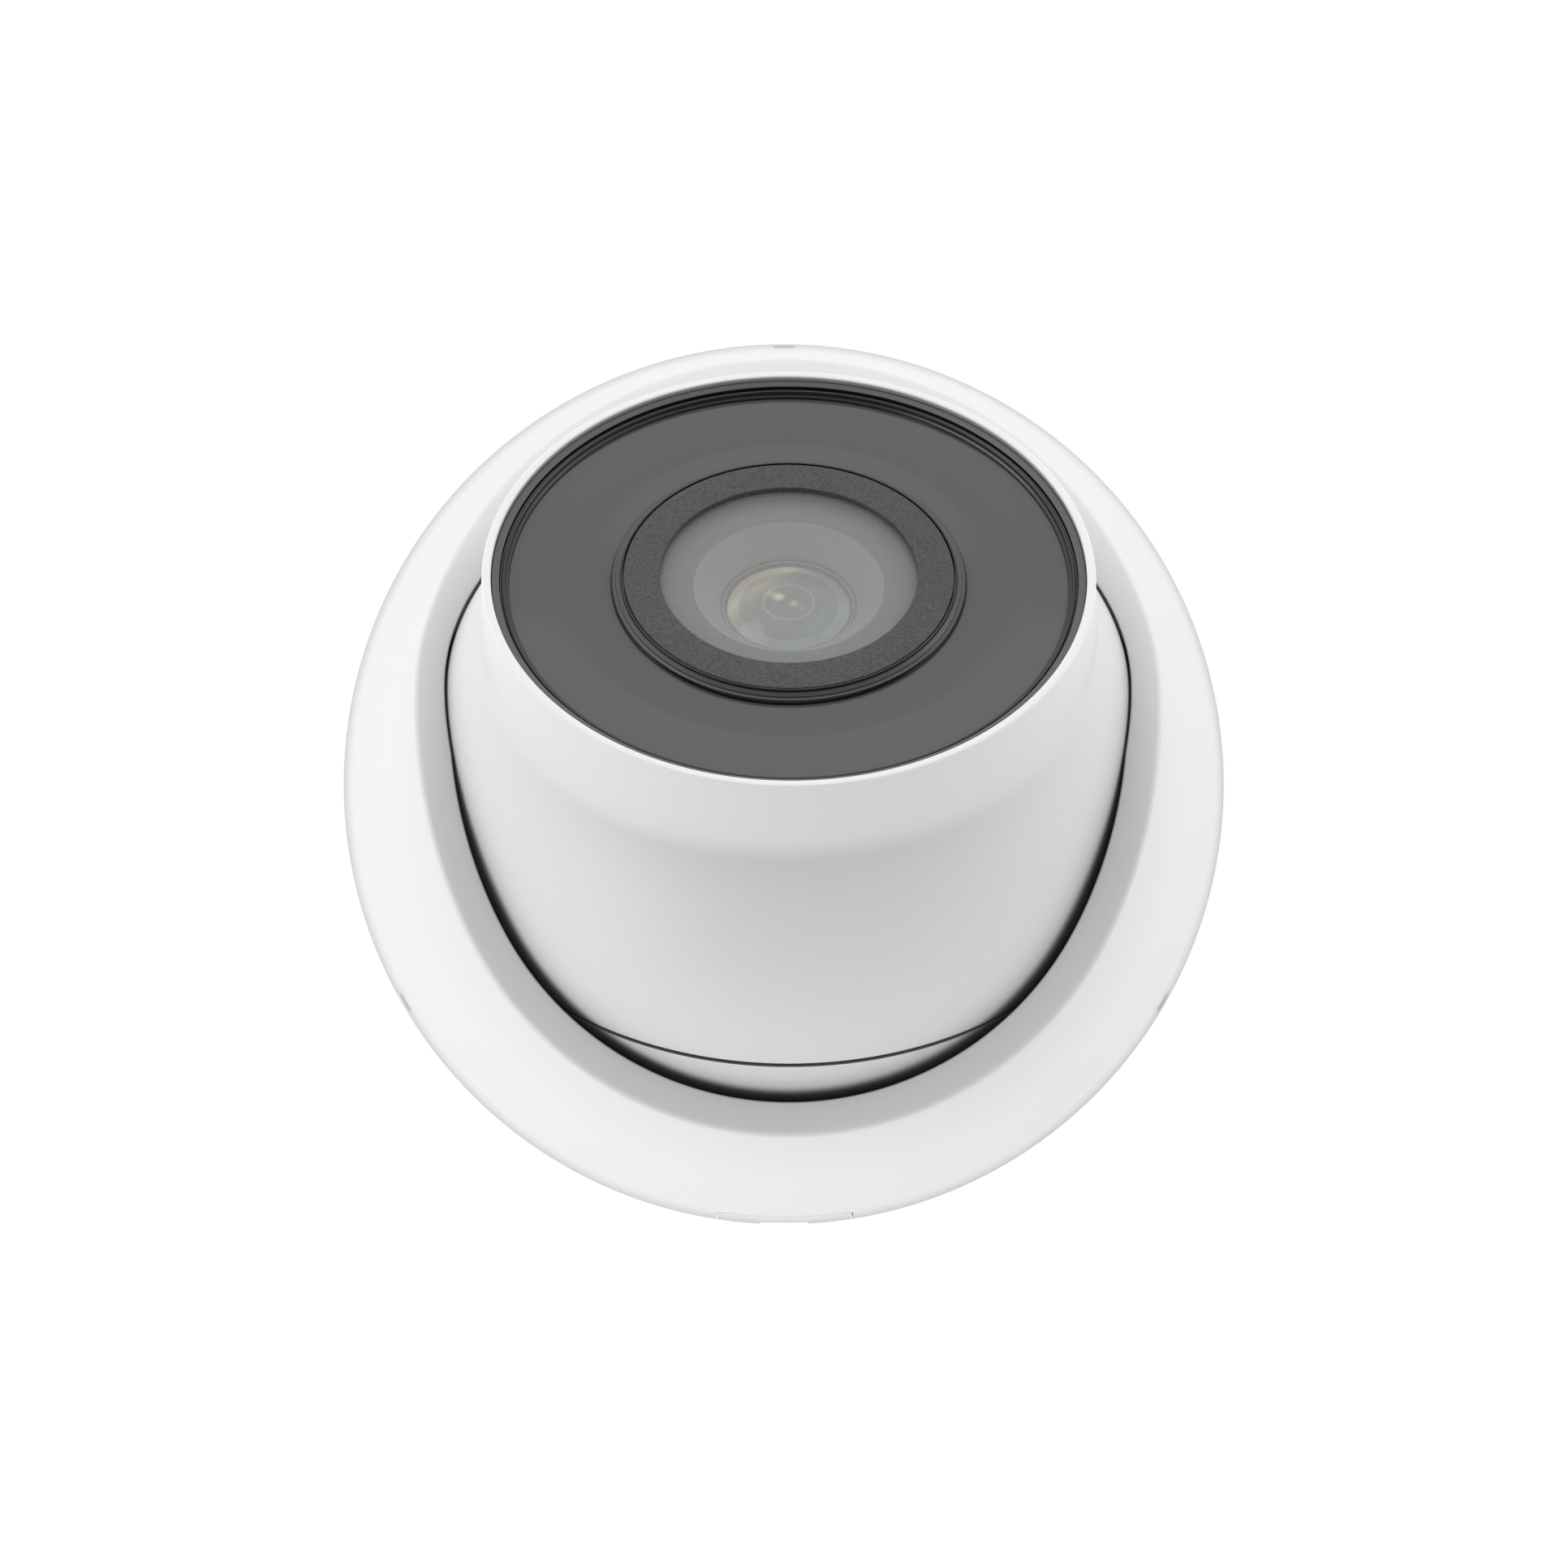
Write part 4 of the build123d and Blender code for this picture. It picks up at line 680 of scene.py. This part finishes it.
hood_land = lens_front + 0.1
lens_turned("flocked_hood", [
    (hood_mouth, hood_top, 0.12), (hood_outer, hood_top), (hood_outer, hood_foot), (hood_inner, hood_foot),
    (hood_inner, 29.5), (11.2, 29.5), (8.90, hood_land), (hood_throat, hood_land),
    (hood_throat + 0.12, lens_front + 0.5, 0.1)],
    [hood_grey, hood_dark], ["lens_hood"], steps=160,
    second=(hood_mouth + 0.02, hood_outer + 0.1, hood_top - 0.1))

head_foot = 24.8
lens_turned("barrel_with_rings", [
    (pocket_radius, pocket_floor), (pocket_radius, 27.46, 0.04), (7.18, lens_front, 0.04),
    (barrel_head, 27.58, 0.06), (barrel_head, head_foot), (barrel_radius, head_foot),
    (barrel_radius, barrel_back), (barrel_bore, barrel_back), (barrel_bore, pocket_floor)],
    [finishes["lens_black"], hood_grey], ["lens_barrel"], steps=128,
    second=(7.2, 7.6, 27.5))

retainer_foot = 27.26
retainer_outer = 7.09
lens_turned("threaded_retainer", [
    (6.96, retainer_foot), (retainer_outer, retainer_foot), (retainer_outer, 27.44, 0.02),
    (7.00, 27.45, 0.02)],
    [finishes["lens_black"]], ["element_retainer"], steps=128, smooth=20.0)


def dome(radius, base, crown, count):
    """Points up the front of a domed element, from its edge to its middle."""
    ball = (radius ** 2 + crown ** 2) / (2 * crown)
    reach = math.asin(radius / ball)
    turns = [reach * (1 - i / count) for i in range(count + 1)]
    return [(ball * math.sin(turn), base + crown - ball + ball * math.cos(turn)) for turn in turns]


lens_turned("front_dome", [
    (0, element_back), (element_radius, element_back), (element_radius, element_edge)] +
    dome(dome_radius, element_edge, dome_crown, 16),
    [finishes["coated_glass"]], ["front_element"], steps=128, smooth=60.0)

lens_turned("inner_baffle", [
    (baffle_outer, baffle_back), (baffle_outer, 25.10), (4.55, 25.10), (4.20, 24.65), (3.70, 24.60),
    (3.30, 24.10), (2.90, 24.05), (2.45, 23.50), (2.05, 23.48), (baffle_hole, 23.05),
    (baffle_hole, baffle_back)],
    [finishes["collar_gloss"]], steps=96, smooth=20.0)

# ------------------------------------------------------------------ skirt

edge_centre = (slant_setback + slant_blend * math.tan(slant_angle / 2), rim_height - slant_blend)
edge_turn = edge_centre[0] - slant_blend * math.sin(slant_angle)


def edge_height(y):
    """Height of the skirt's edge: level behind, then a long bend into the slope in front."""
    if y > edge_centre[0]:
        return rim_height
    if y > edge_turn:
        return edge_centre[1] + math.sqrt(slant_blend ** 2 - (y - edge_centre[0]) ** 2)
    return edge_centre[1] + slant_blend * math.cos(slant_angle) - (edge_turn - y) * math.tan(slant_angle)


shoulder = Vector((shoulder_radius, shoulder_height))
rim_step = Vector((rim_radius, rim_height)) - shoulder
inward = Vector((-1, -cone_slope)).normalized()
shoulder_bend = rim_step.length_squared / (2 * rim_step.dot(inward))
bend_centre = shoulder + inward * shoulder_bend


def skirt_outside(height):
    """Outside radius of the skirt: a straight cone, then a round shoulder."""
    if height < shoulder_height:
        return foot_radius - cone_slope * (height - foot_gap)
    return bend_centre.x + math.sqrt(shoulder_bend ** 2 - (height - bend_centre.y) ** 2)


steepest = Vector((0, -math.sin(steepest_lean), math.cos(steepest_lean)))


def in_snout_path(radius, turn, height):
    """True where the snout passes at its steepest lean."""
    spot = Vector((radius * math.cos(turn), radius * math.sin(turn), height - ball_height))
    forward = spot.dot(steepest)
    aside = (spot - steepest * forward).length
    return ball_radius / 2 < forward < snout_reach + snout_clear and aside < snout_radius + snout_clear


def opening_at(turn, height):
    """Inside radius of the lip: its set width, clear of the ball and of the snout's path."""
    above = height - ball_height
    ball_room = math.sqrt(max((ball_radius + ball_gap) ** 2 - above ** 2, 0))
    inside = max(skirt_outside(height) - lip_width, ball_room)
    while in_snout_path(inside, turn, height) and inside < skirt_outside(height) - least_lip:
        inside += 0.05
    return inside


def curve_between(start, corner, end, count):
    """A short bend from one line to another through their corner."""
    return [tuple((1 - t) ** 2 * s + 2 * t * (1 - t) * c + t * t * e for s, c, e in zip(start, corner, end))
            for t in (i / count for i in range(count + 1))]


outer_rows = 44
inner_rows = 24


def skirt_column(turn):
    """Section of the skirt at one angle: (radius, height) from the foot, over the lip and down inside."""
    side = math.sin(turn)
    reach = foot_radius
    for _ in range(40):
        reach = skirt_outside(edge_height(reach * side))
    top = edge_height(reach * side)
    low_wall = top - lip_round
    outer_wall = [(skirt_outside(h), h) for h in
                  (foot_gap + (low_wall - foot_gap) * i / outer_rows for i in range(outer_rows + 1))]
    land_start = (reach - lip_round, edge_height((reach - lip_round) * side))
    lip_outer = curve_between(outer_wall[-1], (reach, top), land_start, 6)[1:]
    inside = skirt_outside(top) - lip_width
    for _ in range(6):
        inside = opening_at(turn, edge_height(inside * side))
    lip_top = edge_height(inside * side)
    land_width = reach - lip_round - inside - lip_inner_round
    land = [(r, edge_height(r * side)) for r in (reach - lip_round - land_width * i / 3 for i in (1, 2, 3))]
    lip_inner = curve_between(land[-1], (inside, lip_top), (inside, lip_top - lip_inner_round), 4)[1:]
    under = lip_top - lip_thickness
    below = (max(opening_at(turn, under), min(inside, skirt_outside(under) - least_wall)), under)
    wall_top = min(edge_height((skirt_outside(under) - skirt_wall) * side), rim_height) - lip_thickness
    inner_top = (max(skirt_outside(wall_top) - skirt_wall, below[0] + 0.02), wall_top)
    inner_wall = [(skirt_outside(h) - skirt_wall, h) for h in
                  (wall_top + (foot_gap - wall_top) * i / inner_rows for i in range(1, inner_rows + 1))]
    return outer_wall + lip_outer + land + lip_inner + [below, inner_top] + inner_wall


def make_skirt():
    """The trim ring: a spun section whose rows are then laid along the slanted lip."""
    pattern = skirt_column(math.pi / 2)
    bm = bmesh.new()
    row = bm.verts.layers.int.new("row")
    spots = []
    for index in range(len(pattern)):
        spot = bm.verts.new((100.0, 0, index))
        spot[row] = index
        spots.append(spot)
    for first, second in zip(spots, spots[1:] + spots[:1]):
        bm.edges.new((first, second))
    bmesh.ops.spin(bm, geom=bm.verts[:] + bm.edges[:], cent=(0, 0, 0), axis=(0, 0, 1), dvec=(0, 0, 0),
                   angle=2 * math.pi, steps=240, use_merge=True, use_duplicate=False)
    columns = {}
    for vert in bm.verts:
        turn = round(math.atan2(vert.co.y, vert.co.x), 5)
        if turn not in columns:
            columns[turn] = skirt_column(turn)
        radius, height = columns[turn][vert[row]]
        vert.co = (radius * math.cos(turn), radius * math.sin(turn), height)
    bmesh.ops.recalc_face_normals(bm, faces=bm.faces)
    return bm


def mesh_from(bm, name):
    """A plain object holding the mesh, used while cutting."""
    mesh = bpy.data.meshes.new(name)
    bm.to_mesh(mesh)
    bm.free()
    piece = bpy.data.objects.new(name, mesh)
    scene.collection.objects.link(piece)
    return piece


def outlet_cutter():
    """Outline of the side cable outlet, drawn out through the wall."""
    bm = bmesh.new()
    half = outlet_width / 2
    top = foot_gap + outlet_height
    corners = [bm.verts.new((x, outlet_start, z))
               for x, z in ((-half, -1), (half, -1), (half, top), (-half, top))]
    bm.faces.new(corners)
    bmesh.ops.bevel(bm, geom=corners[2:], offset=outlet_round, offset_type="OFFSET", segments=8, profile=0.5,
                    affect="VERTICES", clamp_overlap=True, material=-1)
    drawn = bmesh.ops.extrude_face_region(bm, geom=bm.faces[:])
    moved = [item for item in drawn["geom"] if isinstance(item, bmesh.types.BMVert)]
    bmesh.ops.translate(bm, vec=(0, outlet_through, 0), verts=moved)
    bmesh.ops.recalc_face_normals(bm, faces=bm.faces)
    return bm


def cut(bm, cutter):
    """Takes one closed shape out of another."""
    body, tool = mesh_from(bm, "cut_body"), mesh_from(cutter, "cut_tool")
    step = body.modifiers.new("cut", "BOOLEAN")
    step.object = tool
    step.operation = "DIFFERENCE"
    step.solver = "EXACT"
    shaped = bpy.data.meshes.new_from_object(body.evaluated_get(bpy.context.evaluated_depsgraph_get()))
    bpy.data.objects.remove(body)
    bpy.data.objects.remove(tool)
    result = bmesh.new()
    result.from_mesh(shaped)
    bpy.data.meshes.remove(shaped)
    return result


def add_lug(bm, turn):
    """A small rounded block standing through the skirt near its foot."""
    lug = bmesh.ops.create_cube(bm, size=1.0)["verts"]
    for face in {face for vert in lug for face in vert.link_faces}:
        face.material_index = 1
    middle = foot_radius - lug_proud - lug_depth / 2
    bmesh.ops.scale(bm, vec=(lug_depth, lug_width, lug_height), verts=lug)
    bmesh.ops.translate(bm, vec=(middle, 0, foot_gap + lug_height / 2), verts=lug)
    bmesh.ops.rotate(bm, cent=(0, 0, 0), matrix=Matrix.Rotation(math.radians(turn), 3, "Z"), verts=lug)
    edges = list({edge for vert in lug for edge in vert.link_edges})
    bmesh.ops.bevel(bm, geom=edges, offset=lug_round, offset_type="OFFSET", segments=3, profile=0.5,
                    affect="EDGES", clamp_overlap=True, material=-1)


skirt_bm = cut(make_skirt(), outlet_cutter())
for lug_turn in lug_turns:
    add_lug(skirt_bm, lug_turn)
put(skirt_bm, "trim_skirt", "enclosure", [finishes["white_shell"], lug_white], ["trim_ring"],
    smooth=32.0)

# ------------------------------------------------------------------ floor and finish


def floor():
    """A pale floor that is lit evenly, as in a light tent."""
    bm = bmesh.new()
    bmesh.ops.create_circle(bm, cap_ends=True, radius=4.0, segments=96)
    bmesh.ops.translate(bm, vec=(0, 0, -0.0003), verts=bm.verts)
    mesh = bpy.data.meshes.new("floor")
    bm.to_mesh(mesh)
    bm.free()
    sheet = bpy.data.objects.new("floor", mesh)
    scene.collection.objects.link(sheet)
    material, tree, shader = new_material("floor_paper", 0.9)
    shader.inputs["Base Color"].default_value = (0.08, 0.08, 0.08, 1)
    shader.inputs["Specular IOR Level"].default_value = 0.0
    shader.inputs["Emission Color"].default_value = (1, 1, 1, 1)
    shader.inputs["Emission Strength"].default_value = 0.96
    mesh.materials.append(material)


floor()
